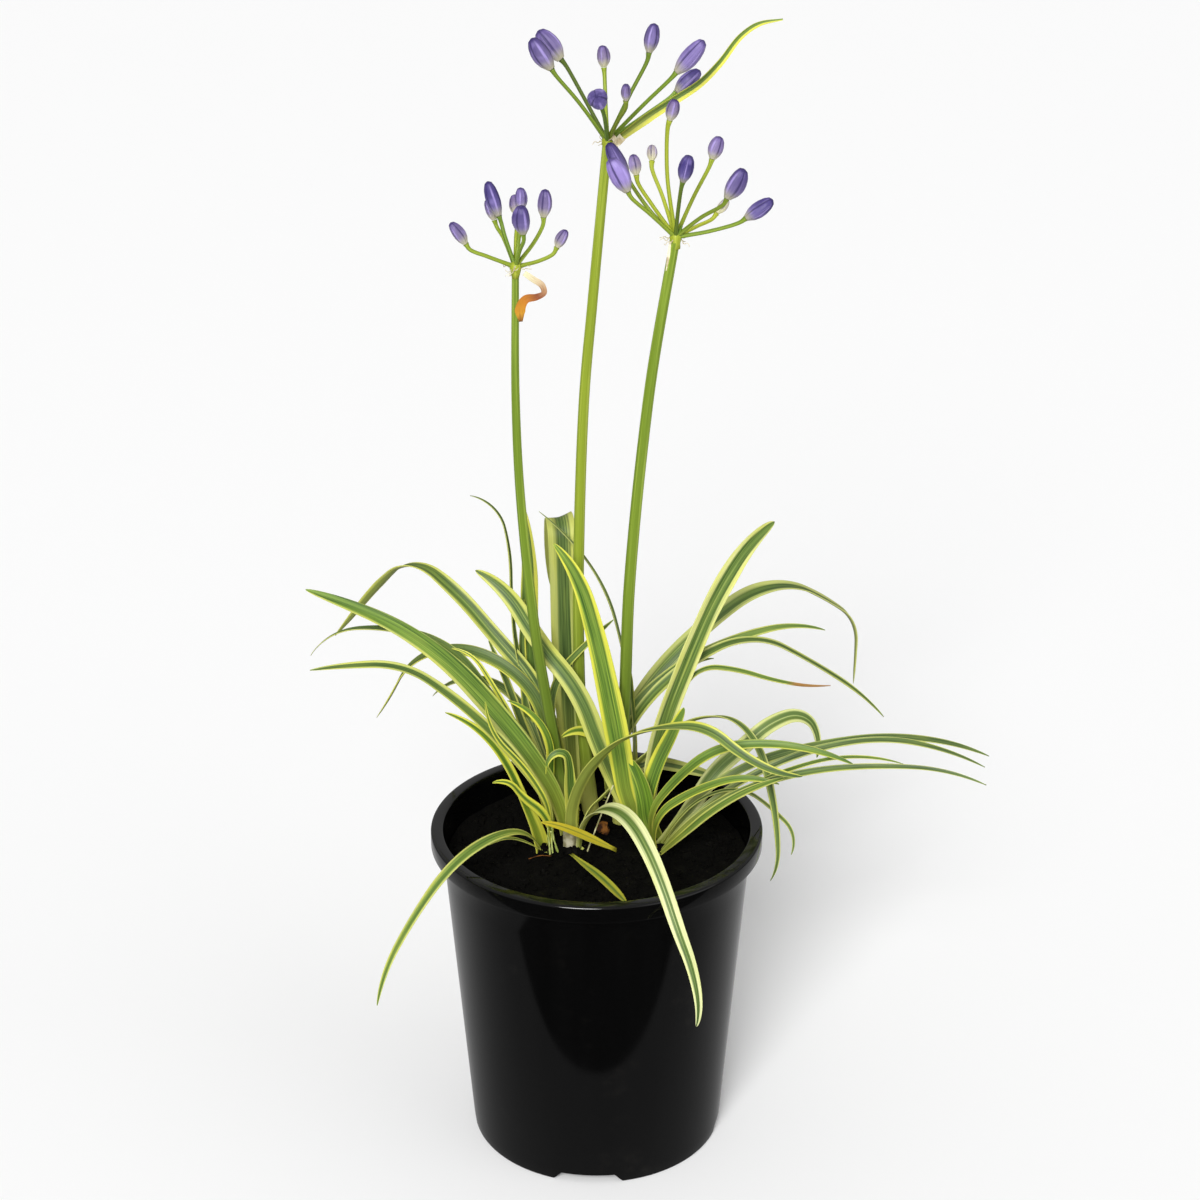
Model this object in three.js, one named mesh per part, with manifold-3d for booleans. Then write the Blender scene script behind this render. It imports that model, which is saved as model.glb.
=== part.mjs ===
// Variegated agapanthus in a black nursery pot.
// Millimetres, +Z up. The origin is the middle of the pot's floor, on the surface it stands on.
// X runs to the right and Y to the back.
import * as THREE from 'three';
import { mergeVertices } from 'three/addons/utils/BufferGeometryUtils.js';
import Module from 'manifold-3d';

const wasm = await Module();
wasm.setup();

// ---------------------------------------------------------------- driving dimensions
const GAP = 0.3;              // clearance between pieces that touch
const POT_HEIGHT = 206;
const RIM_RADIUS = 100;       // outside of the folded lip
const WALL = 1.8;             // moulded wall
const WALL_TOP_RADIUS = 94;   // outside of the wall just under the rim
const BASE_RADIUS = 77;
const LIP_HEIGHT = 10.5;
const FLOOR = 2.4;
const RECESSES = 4;           // raised drainage recesses round the base
const RECESS_WIDTH = 42;
const RECESS_HEIGHT = 6;
const RECESS_SLOPE = 0.8;     // how far each end leans in, as a share of the height
const RECESS_INNER = 58;      // how far in each recess reaches, from the axis
const RECESS_OUTER = 90;      // and out, past the wall
const DRAIN_RADIUS = 5;
const SOIL_TOP = 188;
const NECK_DEPTH = 12;        // how deep the shoots' necks stand in the soil
const NECK_HEIGHT = 8;        // and how high they stand out of it
const NECK_SIDES = 10;
const POT_SIDES = 48;

const COLOURS = {
  pot: [0x0b0b0c, 0.32, 0],
  soil: [0x15110e, 0.95, 0],
  leaf: [0x7f9a4a, 0.45, 0],
  yellow: [0xd8c23a, 0.5, 0],
  scape: [0x7ba034, 0.42, 0],
  bud: [0x6a62b5, 0.5, 0],
  dry: [0xb07a42, 0.7, 0],
};

const UP = new THREE.Vector3(0, 0, 1);
const radians = THREE.MathUtils.degToRad;
const group = new THREE.Group();

function addMesh(name, geometry, colour) {
  const [color, roughness, metalness] = COLOURS[colour];
  const mesh = new THREE.Mesh(geometry, new THREE.MeshStandardMaterial({ color, roughness, metalness }));
  mesh.name = name;
  group.add(mesh);
  return mesh;
}

// ---------------------------------------------------------------- solids and booleans
function solidOf(geometry) {
  const bare = geometry.clone();
  bare.deleteAttribute('normal');
  bare.deleteAttribute('uv');
  const merged = mergeVertices(bare, 1e-4);
  return new wasm.Manifold(new wasm.Mesh({
    numProp: 3,
    vertProperties: Float32Array.from(merged.attributes.position.array),
    triVerts: Uint32Array.from(merged.index.array),
  }));
}

function geometryOf(solid) {
  const mesh = solid.getMesh();
  const geometry = new THREE.BufferGeometry();
  geometry.setAttribute('position', new THREE.BufferAttribute(mesh.vertProperties, 3));
  geometry.setIndex(new THREE.BufferAttribute(mesh.triVerts, 1));
  return geometry;
}

// Joins overlapping pieces into one body; pockets that the joining seals are filled.
function joined(geometries) {
  const whole = geometries.map(solidOf).reduce((sum, piece) => sum.add(piece));
  return whole.decompose().reduce((body, other) => (other.volume() > body.volume() ? other : body));
}

// Skin over a row of closed rings of equally many points. The faces from point `turned` on are
// split along their other diagonal, so that both faces of a thin blade are split alike.
function loft(rings, { turned = Infinity } = {}) {
  const count = rings[0].length;
  const positions = rings.flat().flatMap((p) => [p.x, p.y, p.z]);
  const faces = [];
  for (let i = 0; i + 1 < rings.length; i += 1) {
    for (let j = 0; j < count; j += 1) {
      const next = (j + 1) % count;
      const [a, b] = [i * count + j, i * count + next];
      const [c, d] = [a + count, b + count];
      if (j >= turned) faces.push(a, b, c, b, d, c);
      else faces.push(a, b, d, a, d, c);
    }
  }
  const last = (rings.length - 1) * count;
  for (const [a, b, c] of capFaces(rings[0])) faces.push(c, b, a);
  for (const [a, b, c] of capFaces(rings[rings.length - 1])) faces.push(last + a, last + b, last + c);
  const geometry = new THREE.BufferGeometry();
  geometry.setAttribute('position', new THREE.Float32BufferAttribute(positions, 3));
  geometry.setIndex(faces);
  return geometry;
}

// Triangles of a flat ring, found in its own plane and kept in the ring's order.
function capFaces(ring) {
  const middle = ring.reduce((sum, p) => sum.add(p), new THREE.Vector3()).divideScalar(ring.length);
  const normal = new THREE.Vector3();
  ring.forEach((p, i) => {
    const q = ring[(i + 1) % ring.length];
    normal.add(p.clone().sub(middle).cross(q.clone().sub(middle)));
  });
  normal.normalize();
  const across = ring[0].clone().sub(middle).normalize();
  const along = normal.clone().cross(across);
  const flat = ring.map((p) => {
    const offset = p.clone().sub(middle);
    return new THREE.Vector2(offset.dot(across), offset.dot(along));
  });
  return THREE.ShapeUtils.triangulateShape(flat, []);
}

// Round tube of changing radius along a smooth curve.
function taperedTube(points, radiusAt, steps, sides) {
  const curve = new THREE.CatmullRomCurve3(points.map((p) => new THREE.Vector3(...p)));
  const frames = curve.computeFrenetFrames(steps, false);
  const rings = [];
  for (let i = 0; i <= steps; i += 1) {
    const centre = curve.getPointAt(i / steps);
    const radius = radiusAt(i / steps);
    rings.push(Array.from({ length: sides }, (_, j) => {
      const angle = (2 * Math.PI * j) / sides;
      return centre.clone()
        .addScaledVector(frames.normals[i], radius * Math.cos(angle))
        .addScaledVector(frames.binormals[i], radius * Math.sin(angle));
    }));
  }
  return loft(rings);
}

// Lathe turned about Z from [radius, height] pairs that start and end on the axis or close.
function turned(profile, sides) {
  const points = profile.map(([radius, height]) => new THREE.Vector2(radius, height));
  return new THREE.LatheGeometry(points, sides).rotateX(Math.PI / 2);
}

// ---------------------------------------------------------------- pot
const taper = (WALL_TOP_RADIUS - BASE_RADIUS) / POT_HEIGHT;
const outerRadius = (height) => BASE_RADIUS + taper * height;
const innerRadius = (height) => outerRadius(height) - WALL;

// Wedge of one recess, sloping at its ends, made `extra` mm bigger for what must clear it.
function recessBlock(angle, extra) {
  const half = RECESS_WIDTH / 2 + extra;
  const top = RECESS_HEIGHT + extra;
  const roof = half - top * RECESS_SLOPE;
  const below = -5;           // past the underside, so that the cut is clean
  const corners = [[-half, below], [half, below], [half, 0], [roof, top], [-roof, top], [-half, 0]];
  const outline = new THREE.Shape(corners.map(([x, y]) => new THREE.Vector2(x, y)));
  const inner = RECESS_INNER - extra;
  return new THREE.ExtrudeGeometry(outline, { depth: RECESS_OUTER - inner, bevelEnabled: false })
    .rotateX(Math.PI / 2).rotateZ(Math.PI).translate(0, inner, 0).rotateZ(angle);
}

const firstRecess = -0.07;    // angle of the first recess from the back
const recessAngles = Array.from({ length: RECESSES }, (_, i) => firstRecess + (2 * Math.PI * i) / RECESSES);

function buildPot() {
  const top = POT_HEIGHT;
  const round = 1.5;          // rounding of the lip and of the foot
  const lipBottom = top - LIP_HEIGHT;
  const lipUnderside = top - WALL - 0.6;
  const shell = turned([
    [0, 0], [BASE_RADIUS - round, 0], [BASE_RADIUS, round],
    [outerRadius(lipUnderside), lipUnderside], [RIM_RADIUS - WALL, lipUnderside],
    [RIM_RADIUS - WALL, lipBottom], [RIM_RADIUS - 0.3, lipBottom], [RIM_RADIUS, lipBottom + 1],
    [RIM_RADIUS, top - round], [RIM_RADIUS - round, top], [innerRadius(top) + round, top],
    [innerRadius(top), top - round], [innerRadius(FLOOR), FLOOR], [0, FLOOR],
  ], POT_SIDES);
  let pot = solidOf(shell);
  // Everything inside the outer wall, to trim the raised recess roofs.
  const [low, high, inside] = [0.5, 30, 0.4];
  const envelope = solidOf(turned([[0, low], [outerRadius(low) - inside, low],
    [outerRadius(high) - inside, high], [0, high]], POT_SIDES));
  for (const angle of recessAngles) {
    pot = pot.add(solidOf(recessBlock(angle, WALL)).intersect(envelope));
  }
  for (const angle of recessAngles) {
    const drain = new THREE.CylinderGeometry(DRAIN_RADIUS, DRAIN_RADIUS, 20, 12).rotateX(Math.PI / 2)
      .translate(0, (RECESS_INNER + BASE_RADIUS) / 2, RECESS_HEIGHT).rotateZ(angle);
    pot = pot.subtract(solidOf(recessBlock(angle, 0))).subtract(solidOf(drain));
  }
  addMesh('pot', geometryOf(pot), 'pot');
}

// ---------------------------------------------------------------- leaves
// A leaf follows a line that climbs and arches: `pitch` is its angle above the horizontal at even
// stations from root to tip, `heading` its compass direction (0 is +X, 90 the back) at root and tip,
// and `twist` turns the blade about that line. The blade is a shallow channel with a real edge.
const EDGE = 0.75;            // thickness at the edges
const KEEL = 1.3;             // thickness along the middle
const STEP = 18;              // length of one blade segment

function stationValue(values, t) {
  if (values.length === 1) return values[0];
  const place = t * (values.length - 1);
  const index = Math.min(Math.floor(place), values.length - 2);
  return THREE.MathUtils.lerp(values[index], values[index + 1], place - index);
}

// `base` is the width at the root as a share of the full width, which is reached at the share
// `swell` of the length.
function leafWidth(t, { width, base = 0.42, swell = 0.4, point = 3 }) {
  const grown = base + (1 - base) * Math.sin(Math.min(1, t / swell) * Math.PI / 2);
  const end = Math.sqrt(Math.max(0, 1 - t ** point));
  return Math.max(1.2, width * grown * end);
}

function leafGeometry(leaf) {
  const { root, heading, pitch, length, twist = [0, 0], lift = 2 } = leaf;
  const segments = Math.max(5, Math.round(length / STEP), pitch.length - 1);
  const position = new THREE.Vector3(root[0], root[1], SOIL_TOP + lift);
  const rings = [];
  const fine = 8;             // short steps of the line in each segment
  for (let i = 0; i <= segments * fine; i += 1) {
    const t = i / (segments * fine);
    const turn = radians(stationValue(heading, t));
    const climb = radians(stationValue(pitch, t));
    const tangent = new THREE.Vector3(Math.cos(climb) * Math.cos(turn),
      Math.cos(climb) * Math.sin(turn), Math.sin(climb));
    if (i % fine === 0) {
      const side = new THREE.Vector3(-Math.sin(turn), Math.cos(turn), 0)
        .applyAxisAngle(tangent, radians(stationValue(twist, t)));
      rings.push(leafSection(position, side, tangent.clone().cross(side), leafWidth(t, leaf)));
    }
    position.addScaledVector(tangent, length / (segments * fine));
  }
  return loft(rings, { turned: 3 });
}

function leafSection(centre, side, face, width) {
  const half = width / 2;
  const rise = 0.1 * half;
  const keel = Math.min(KEEL, EDGE + width * 0.05);
  const upper = [[half, rise], [0, -rise], [-half, rise]];
  const lower = [[-half, rise - EDGE], [0, -rise - keel], [half, rise - EDGE]];
  return [...upper, ...lower].map(([u, v]) => centre.clone()
    .addScaledVector(side, u).addScaledVector(face, v));
}

// Shoots: a neck that stands in its hole in the soil, and the leaves grown from it.
const SHOOTS = [
  { name: 'front_left_shoot', foot: [-32, 1], radius: 6, leaves: [
    { root: [-33, 0], heading: [190], pitch: [79, 69, 70, 61, 44, 23],
      length: 115, width: 7.4, twist: [-50, -60], base: 1.6, point: 1.8 },
    { root: [-30, 4], heading: [192, 196], pitch: [108, 62, 54, 48, 40, 5, -3],
      length: 216, width: 7.5, twist: [-60, -50], point: 2.5 },
    { root: [-28, -2], heading: [205], pitch: [105, 69, 43, 58, -8],
      length: 71, width: 7, twist: [-50, -60], point: 2 },
    { root: [-30, 1], heading: [195], pitch: [106, 64, 50, 88],
      length: 112, width: 4.5, twist: [-45, -60] },
    { root: [-34, -2], heading: [231], pitch: [64, 16, -7, -32, -43, -76],
      length: 183, width: 6, twist: [-30, -60] },
    { root: [-34, -3], heading: [205], pitch: [45, 26, -27],
      length: 38, width: 4 },
  ] },
  { name: 'left_shoot', foot: [-23, 20], radius: 5.8, leaves: [
    { root: [-19, 16], heading: [178], pitch: [85, 61, 54, 50, 38, 24, 19],
      length: 232, width: 13.8, twist: [-62, -52], base: 0.5, point: 2.2 },
    { root: [-22, 22], heading: [168], pitch: [98, 60, 50, 56, 12, -9, -60],
      length: 236, width: 6.4, twist: [-50, -50, -30, 10] },
    { root: [-25, 20], heading: [165], pitch: [64, 72, 76, 64, 60, 57, -5],
      length: 139, width: 4.5, twist: [-20, -40] },
    { root: [-26, 20], heading: [180], pitch: [78, 90, 93, 57, 19],
      length: 100, width: 8, twist: [-45, -50], point: 1.6 },
  ] },
  { name: 'back_left_shoot', foot: [-18, 54], radius: 9, leaves: [
    { root: [-13, 48], heading: [158, 150], pitch: [71, 76, 67, 43, 44, 31, -45, -52, -51],
      length: 281, width: 10.5, twist: [-60, -58, -52, -25, 35, 30], lift: 2.8 },
    { root: [-18, 48], heading: [166, 160], pitch: [73, 78, 76, 40, 9, -29, -64, -58],
      length: 220, width: 9, twist: [-55, -50, -30, 5] },
    { root: [-22, 54], heading: [140], pitch: [69, 60, -10, -50],
      length: 154, width: 6.5, twist: [-50, -30] },
    { root: [-22, 57], heading: [160, 165], pitch: [74, 73, 73, 77, 86, 90, 77, 4],
      length: 216, width: 6 },
    { root: [-23, 55], heading: [150], pitch: [56, 64, 68, 60],
      length: 113, width: 6, twist: [-60, -50] },
    { root: [-16, 46], heading: [-10, -7], pitch: [108, 102, 86, 50, 44],
      length: 146, width: 6, twist: [75, 70] },
    { root: [-18, 58], heading: [150, 120], pitch: [36, 86, 86, 93, 67],
      length: 200, width: 12.4, twist: [-60, -66], point: 7 },
    { root: [-14, 60], heading: [118, 103, 94], pitch: [86, 79, 81, 83, 84, 84, 82, -60, -80, -85],
      length: 255, width: 17, twist: [-40, -35, -25, -10, 0], base: 0.6, point: 9 },
    { root: [-20, 56], heading: [150, 130], pitch: [35, 80, 86, 99],
      length: 142, width: 6.5, twist: [-60, -70] },
  ] },
  { name: 'back_shoot', foot: [7, 70], radius: 6.5, leaves: [
    { root: [10, 70], heading: [28], pitch: [102, 74, 53, 42, 33, 27, -2, -32, -39, -89, -95],
      length: 302, width: 10.8, twist: [55, 55, 55, 58, 56, 45, 20, 8, 10, 20, 30], swell: 0.35, point: 5 },
    { root: [7, 69], heading: [20, 18], pitch: [98, 65, 37, 19, 6, -24],
      length: 202, width: 7.5, twist: [55, 45], point: 2.2 },
  ] },
  { name: 'back_right_shoot', foot: [18.5, 60], radius: 7.4, leaves: [
    { root: [16, 59], heading: [8, 12], pitch: [112, 68, 44, 23, -32, -37, -52],
      length: 260, width: 7.5, twist: [55, 50, 40, 5, 20, 35] },
    { root: [15, 62], heading: [21], pitch: [113, 63, 46, -5],
      length: 123, width: 4.6, twist: [50, 50] },
    { root: [18, 58], heading: [-3, -22], pitch: [51, 66, 68, 73, 63, 1, -11, -1, 15],
      length: 188, width: 5, twist: [30, 15] },
    { root: [18, 60], heading: [162], pitch: [106, 90, 80, 75, 52, 33],
      length: 208, width: 5, twist: [-10, 10] },
    { root: [17, 62], heading: [30, -10, -40], pitch: [100, 64, 10, -4, -1, 4],
      length: 76, width: 8, twist: [60, 70], point: 6 },
    { root: [20, 57], heading: [60], pitch: [64, 98, 94],
      length: 90, width: 3, twist: [10, 10], base: 1, point: 9 },
    { root: [14, 56], heading: [215, 205], pitch: [76, 76, 75, 70, 53, 15, -32],
      length: 80, width: 8.5, twist: [-75, -70, -80], point: 4 },
  ] },
  { name: 'middle_shoot', foot: [-11.5, 4.5], radius: 9, leaves: [
    { root: [-9, 10], heading: [46, 50, 32, 2, 30, 5, -30, -45, -53, -50, -50, -45, -40], pitch: [107, 16,
      45, 40, 27, 9, -36, -68, -76, -86, -118],
      length: 248, width: 6.8, twist: [-60, -60, -40, 0, 40, 40], base: 0.5, swell: 0.55, point: 2.2 },
    { root: [-13, 5], heading: [-18, -24], pitch: [108, 78, 60, 45, 23, 11, -35, -18, 8],
      length: 206, width: 9, twist: [-55, -45, -10, 45, 50], base: 0.8, swell: 0.35 },
    { root: [-14, 12], heading: [195], pitch: [88, 87, 86, 86, 89, 80, -27, -102],
      length: 76, width: 11, twist: [-70, -70, -75, -60, -40], base: 0.6, point: 1.2 },
    { root: [-11, -1], heading: [-58, -65], pitch: [86, 53, 32, 7, -27, -41, -48, -41, -68, -114],
      length: 218, width: 10.5, twist: [10, 55] },
  ] },
  { name: 'right_shoot', foot: [31.5, 16], radius: 8.6, leaves: [
    { root: [27, 16], heading: [154], pitch: [60, 64, 68, 44, 56, 16],
      length: 195, width: 12.2, twist: [-66, -60], base: 0.7, point: 6 },
    { root: [32, 13], heading: [162], pitch: [50, 82, 79, 78, 73, 46],
      length: 198, width: 14.8, twist: [-72, -60], base: 0.6 },
    { root: [31, 22], heading: [46, 50], pitch: [92, 73, 58, 53, 37, 8],
      length: 220, width: 15.2, twist: [75, 72, 62], base: 0.6, point: 5 },
    { root: [30, 20], heading: [14], pitch: [96, 78, 63, 66],
      length: 86, width: 9.4, twist: [62, 62], base: 0.7, point: 5 },
    { root: [36, 10], heading: [150], pitch: [52, 84, 71, 56],
      length: 54, width: 13, twist: [-75, -65], base: 0.9, point: 2.2 },
  ] },
  { name: 'front_right_shoot', foot: [38, -1], radius: 7.6, leaves: [
    { root: [39.5, 4], heading: [45, 10], pitch: [25, 40, 48, 29, 35, 10, -65, -102],
      length: 157, width: 11.2, twist: [54, 50, 45, 45, 70], base: 0.65 },
    { root: [35, 3], heading: [-6, -8], pitch: [112, 57, 43, 8, -8, -25],
      length: 166, width: 6.5, twist: [50, 50] },
    { root: [40, 4], heading: [18, 14], pitch: [66, 30, 8, 0, -14, -30],
      length: 236, width: 5.8, twist: [50, 50] },
    { root: [41, 2], heading: [12, 8], pitch: [51, 34, 20, 4, -18, -32],
      length: 223, width: 4.8, twist: [48, 48] },
    { root: [39, -5], heading: [-10], pitch: [57, 39.5, 22.5, 10, 1, -23],
      length: 215, width: 5, twist: [50, 45], point: 2 },
    { root: [42, -2], heading: [-3], pitch: [52, 35, 18, -18],
      length: 162, width: 4, twist: [20, 20] },
    { root: [36, -3], heading: [-12], pitch: [108, 40, 23, -17],
      length: 106, width: 6, twist: [48, 45] },
    { root: [39, -7], heading: [-20], pitch: [48, 48, 37, 24],
      length: 100, width: 6, twist: [45, 45] },
    { root: [39, 3], heading: [6, 8], pitch: [64, 50, 14, -40, -50, -109],
      length: 126, width: 3.4, twist: [0, 0, 30, 80], point: 6 },
  ] },
];

// A neck is a blunt cone, closed at the top, that stands in a plain round hole in the soil.
function neckGeometry({ foot, radius }) {
  const bottom = SOIL_TOP - NECK_DEPTH;
  return turned([[0, bottom], [radius, bottom], [radius, SOIL_TOP + NECK_HEIGHT * 0.27],
    [radius * 0.75, SOIL_TOP + NECK_HEIGHT * 0.73], [0, SOIL_TOP + NECK_HEIGHT]], NECK_SIDES)
    .translate(foot[0], foot[1], 0);
}

function buildShoots() {
  for (const shoot of SHOOTS) {
    const solid = joined([neckGeometry(shoot), ...shoot.leaves.map(leafGeometry)]);
    addMesh(shoot.name, geometryOf(solid), 'leaf');
  }
}

// Two leaves that lie loose: one fallen against the crown, one on the soil.
function buildLooseLeaves() {
  const fallen = { root: [8.5, -3], lift: 3.5, heading: [206], pitch: [36, 35, 31, 20], length: 54,
    width: 7.2, twist: [-40, -50], swell: 0.6, point: 2 };
  const lying = { root: [-13, -12], lift: 2, heading: [-56, -66], pitch: [0, 2, -1, 0], length: 62,
    width: 6.2, twist: [0, 0], point: 6 };
  addMesh('fallen_yellow_leaf', leafGeometry(fallen), 'yellow');
  addMesh('leaf_lying_on_soil', leafGeometry(lying), 'yellow');
}

// ---------------------------------------------------------------- flower stems and buds
// Each stem has a slightly swollen head, from which the flower stalks spread. A bud is given by the
// place of its base from the head, the bend of its stalk half way, the way it points, its length
// and its width.
const STEMS = [
  { name: 'left', line: [[-19, 34, 170], [-20, 34, 190], [-22, 33, 212], [-27, 30, 253], [-36, 27, 316],
    [-44, 22, 407], [-46, 18, 470], [-45, 14, 549]], radii: [4.2, 1.95], foot: 0.4, buds: [
    { base: [-27, -6, 15], bend: [-15, -4, 7], points: [-8, -1, 12], length: 14.5, width: 7 },
    { base: [-9, 8, 27], bend: [-6, 5, 17], points: [-6, 1, 19], length: 20, width: 8 },
    { base: [-12, 18, 22], bend: [-7, 11, 14], points: [-4, 3, 11], length: 12, width: 7 },
    { base: [0, 26, 23], bend: [0, 16, 12], points: [-1, 4, 10], length: 11, width: 7 },
    { base: [3, 12, 29], bend: [2, 7, 15], points: [0, 2, 12], length: 12.5, width: 7 },
    { base: [5, -14, 23], bend: [3, -8, 12], points: [-1, -3, 16], length: 16.5, width: 10 },
    { base: [16, -2, 29], bend: [11, -1, 15], points: [1, 0, 15], length: 15.5, width: 8 },
    { base: [23, 8, 9], bend: [13, 5, 2], points: [5, 1, 9], length: 11, width: 6.5 }] },
  { name: 'middle', line: [[-3, 50, 170], [-4, 50, 190], [-7, 50, 230], [-10, 51, 264], [-11, 51, 305],
    [-10.8, 52, 357], [-7.3, 52, 458], [-2.2, 53, 518], [6.2, 54, 610]], radii: [3.85, 2.65], foot: 1.8, buds: [
    { base: [-26, 10, 44], bend: [-13, 6, 23], points: [-12, 1, 15], length: 20, width: 11.5 },
    { base: [-31, -6, 42], bend: [-16, -4, 23], points: [-11, -1, 17], length: 20, width: 10.5 },
    { base: [-2, 22, 37], bend: [-1, 13, 18], points: [-1, 3, 12], length: 12, width: 7.5 },
    { base: [-5, -42, 32], bend: [-2, -24, 20], points: [-1, -12, 5], length: 15, width: 11 },
    { base: [10, -22, 28], bend: [6, -13, 15], points: [0, -3, 10], length: 10, width: 5.5 },
    { base: [23, 4, 49], bend: [12, 2, 25], points: [3, 1, 16], length: 16, width: 8.5 },
    { base: [38, -10, 41], bend: [20, -6, 22], points: [15, -2, 18], length: 23, width: 10 },
    { base: [39, 26, 22], bend: [21, 16, 11], points: [14, 4, 12], length: 18, width: 9 }] },
  { name: 'right', line: [[14, 36, 170], [14, 36, 203], [15.5, 35, 238], [17, 35, 272], [19, 34, 339],
    [22, 33, 384], [26.5, 32, 434], [32, 31, 483], [44.2, 30, 561.5]], radii: [3.95, 2.85], foot: 0.4, buds: [
    { base: [-27, 11, 31.5], bend: [-14, 7, 13], points: [-10, 0, 18], length: 22, width: 9 },
    { base: [-27, -14, 30], bend: [-14, -8, 15], points: [-10, -2, 19], length: 21, width: 11 },
    { base: [-22, 2, 35], bend: [-13, 1, 18], points: [-2, 1, 11], length: 11.5, width: 7 },
    { base: [-13, 26, 37], bend: [-7, 16, 19], points: [0, 4, 8], length: 9, width: 6 },
    { base: [-4, -4, 67], bend: [-5, -2, 36], points: [3, -1, 12], length: 12, width: 7.5 },
    { base: [3, -24, 38], bend: [1, -14, 20], points: [3, -4, 15], length: 16, width: 8.5 },
    { base: [20, 6, 43], bend: [10, 4, 22], points: [4, 1, 12], length: 13, width: 8.5 },
    { base: [28, -10, 25], bend: [14, -6, 13], points: [9, -2, 17], length: 19, width: 10.5 },
    { base: [24, 22, 8], bend: [13, 13, 3], points: [6, 3, 7], length: 10, width: 5.5 },
    { base: [39, -4, 12], bend: [19, -2, 4], points: [15, -1, 11], length: 18, width: 9 }] },
];
const STALK_RADIUS = 1.1;
const STALK_SIDES = 5;
const STEM_SIDES = 8;
const HEAD_RADIUS = 3.6;
const BUD_SIDES = 8;
// Half the width of a bud at even steps along it, as a share of its full half width.
const BUD_OUTLINE = [0.4, 0.82, 1, 0.98, 0.82, 0.42];

const headOf = (stem) => new THREE.Vector3(...stem.line[stem.line.length - 1]);

function budGeometry({ length, width }) {
  const last = BUD_OUTLINE.length - 1;
  const outline = BUD_OUTLINE.map((share, i) => [share * width / 2, length * i / last]);
  return turned([[0, 0], ...outline, [0, length + 0.3]], BUD_SIDES);
}

function stalkGeometry(head, { base, bend, points }) {
  const end = new THREE.Vector3(...base);
  const out = new THREE.Vector3(...points).normalize();
  const middle = new THREE.Vector3(...bend);
  const start = middle.clone().normalize().multiplyScalar(1.5);
  const cup = end.clone().addScaledVector(out, -GAP);
  const line = [start, middle, cup.clone().addScaledVector(out, -4), cup];
  const widen = (t) => STALK_RADIUS * (t < 0.15 ? 1.25 : t > 0.93 ? 1.5 : 1);
  return taperedTube(line.map((p) => p.add(head).toArray()), widen, 5, STALK_SIDES);
}

function buildStems() {
  for (const stem of STEMS) {
    const [thick, thin] = stem.radii;
    const head = headOf(stem);
    const swollen = new THREE.SphereGeometry(HEAD_RADIUS, STEM_SIDES, 5).scale(1, 1, 0.7)
      .translate(...head.toArray());
    const radiusAt = (t) => THREE.MathUtils.lerp(thick, thin, t ** 0.8) + stem.foot * Math.exp(-((t / 0.1) ** 2));
    const pieces = [taperedTube(stem.line, radiusAt, 15, STEM_SIDES), swollen,
      ...stem.buds.map((bud) => stalkGeometry(head, bud))];
    addMesh(`${stem.name}_flower_stem`, geometryOf(joined(pieces)), 'scape');
    stem.buds.forEach((bud, i) => {
      const mesh = addMesh(`${stem.name}_bud_${i + 1}`, budGeometry(bud), 'bud');
      mesh.position.copy(head).add(new THREE.Vector3(...bud.base));
      mesh.quaternion.setFromUnitVectors(UP, new THREE.Vector3(...bud.points).normalize());
    });
  }
}

// ---------------------------------------------------------------- bracts
// A ribbon through given points, offset from a stem's head, with a width at each point.
function ribbon(head, places, widths, facing) {
  const thickness = 0.8;
  const curve = new THREE.CatmullRomCurve3(places.map((p) => new THREE.Vector3(...p).add(head)));
  const steps = 2 * (places.length - 1);
  const rings = [];
  for (let i = 0; i <= steps; i += 1) {
    const t = i / steps;
    const centre = curve.getPointAt(t);
    const tangent = curve.getTangentAt(t);
    const normal = new THREE.Vector3(...facing).cross(tangent).normalize();
    const face = tangent.clone().cross(normal);
    const half = Math.max(1, stationValue(widths, t)) / 2;
    const dip = -0.2 * half;
    const upper = [[half, 0], [0, dip], [-half, 0]];
    const lower = [[-half, -thickness], [0, dip - thickness], [half, -thickness]];
    rings.push([...upper, ...lower].map(([u, v]) => centre.clone()
      .addScaledVector(normal, u).addScaledVector(face, v)));
  }
  return loft(rings, { turned: 3 });
}

function buildBracts() {
  const [leftHead, middleHead] = STEMS.map(headOf);
  const green = [[8, 2, 2], [24, 5, 13], [38, 6, 22], [52, 8, 31], [63, 10, 42], [74, 12, 56],
    [84, 12, 63], [97, 10, 66]];
  const greenWidths = [4, 5.5, 5, 4.5, 4, 3.5, 3, 1];
  addMesh('green_bract', ribbon(middleHead, green, greenWidths, [0.3, -1, 0.5]), 'leaf');
  const dry = [[5, -5, -2], [10, -7, -5], [15, -9, -8], [16, -10, -12], [12, -11, -14],
    [6, -12, -15], [3, -12, -20], [3, -12, -28]];
  const dryWidths = [3, 3.5, 3.5, 3, 4, 5, 6, 2];
  addMesh('dry_spathe', ribbon(leftHead, dry, dryWidths, [0.2, -1, 0.4]), 'dry');
}

// ---------------------------------------------------------------- soil
const CROWN = { x: 3, y: 26, clear: 62 };   // round the shoots the soil is flat
const SOIL_RINGS = 7;
const SOIL_SECTORS = 36;
const SOIL_RELIEF = 2.2;
const HOLE_DEPTH = 20;

function seeded(seed) {
  let state = seed;
  return () => {
    state = (state * 1664525 + 1013904223) % 4294967296;
    return state / 4294967296;
  };
}

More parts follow.
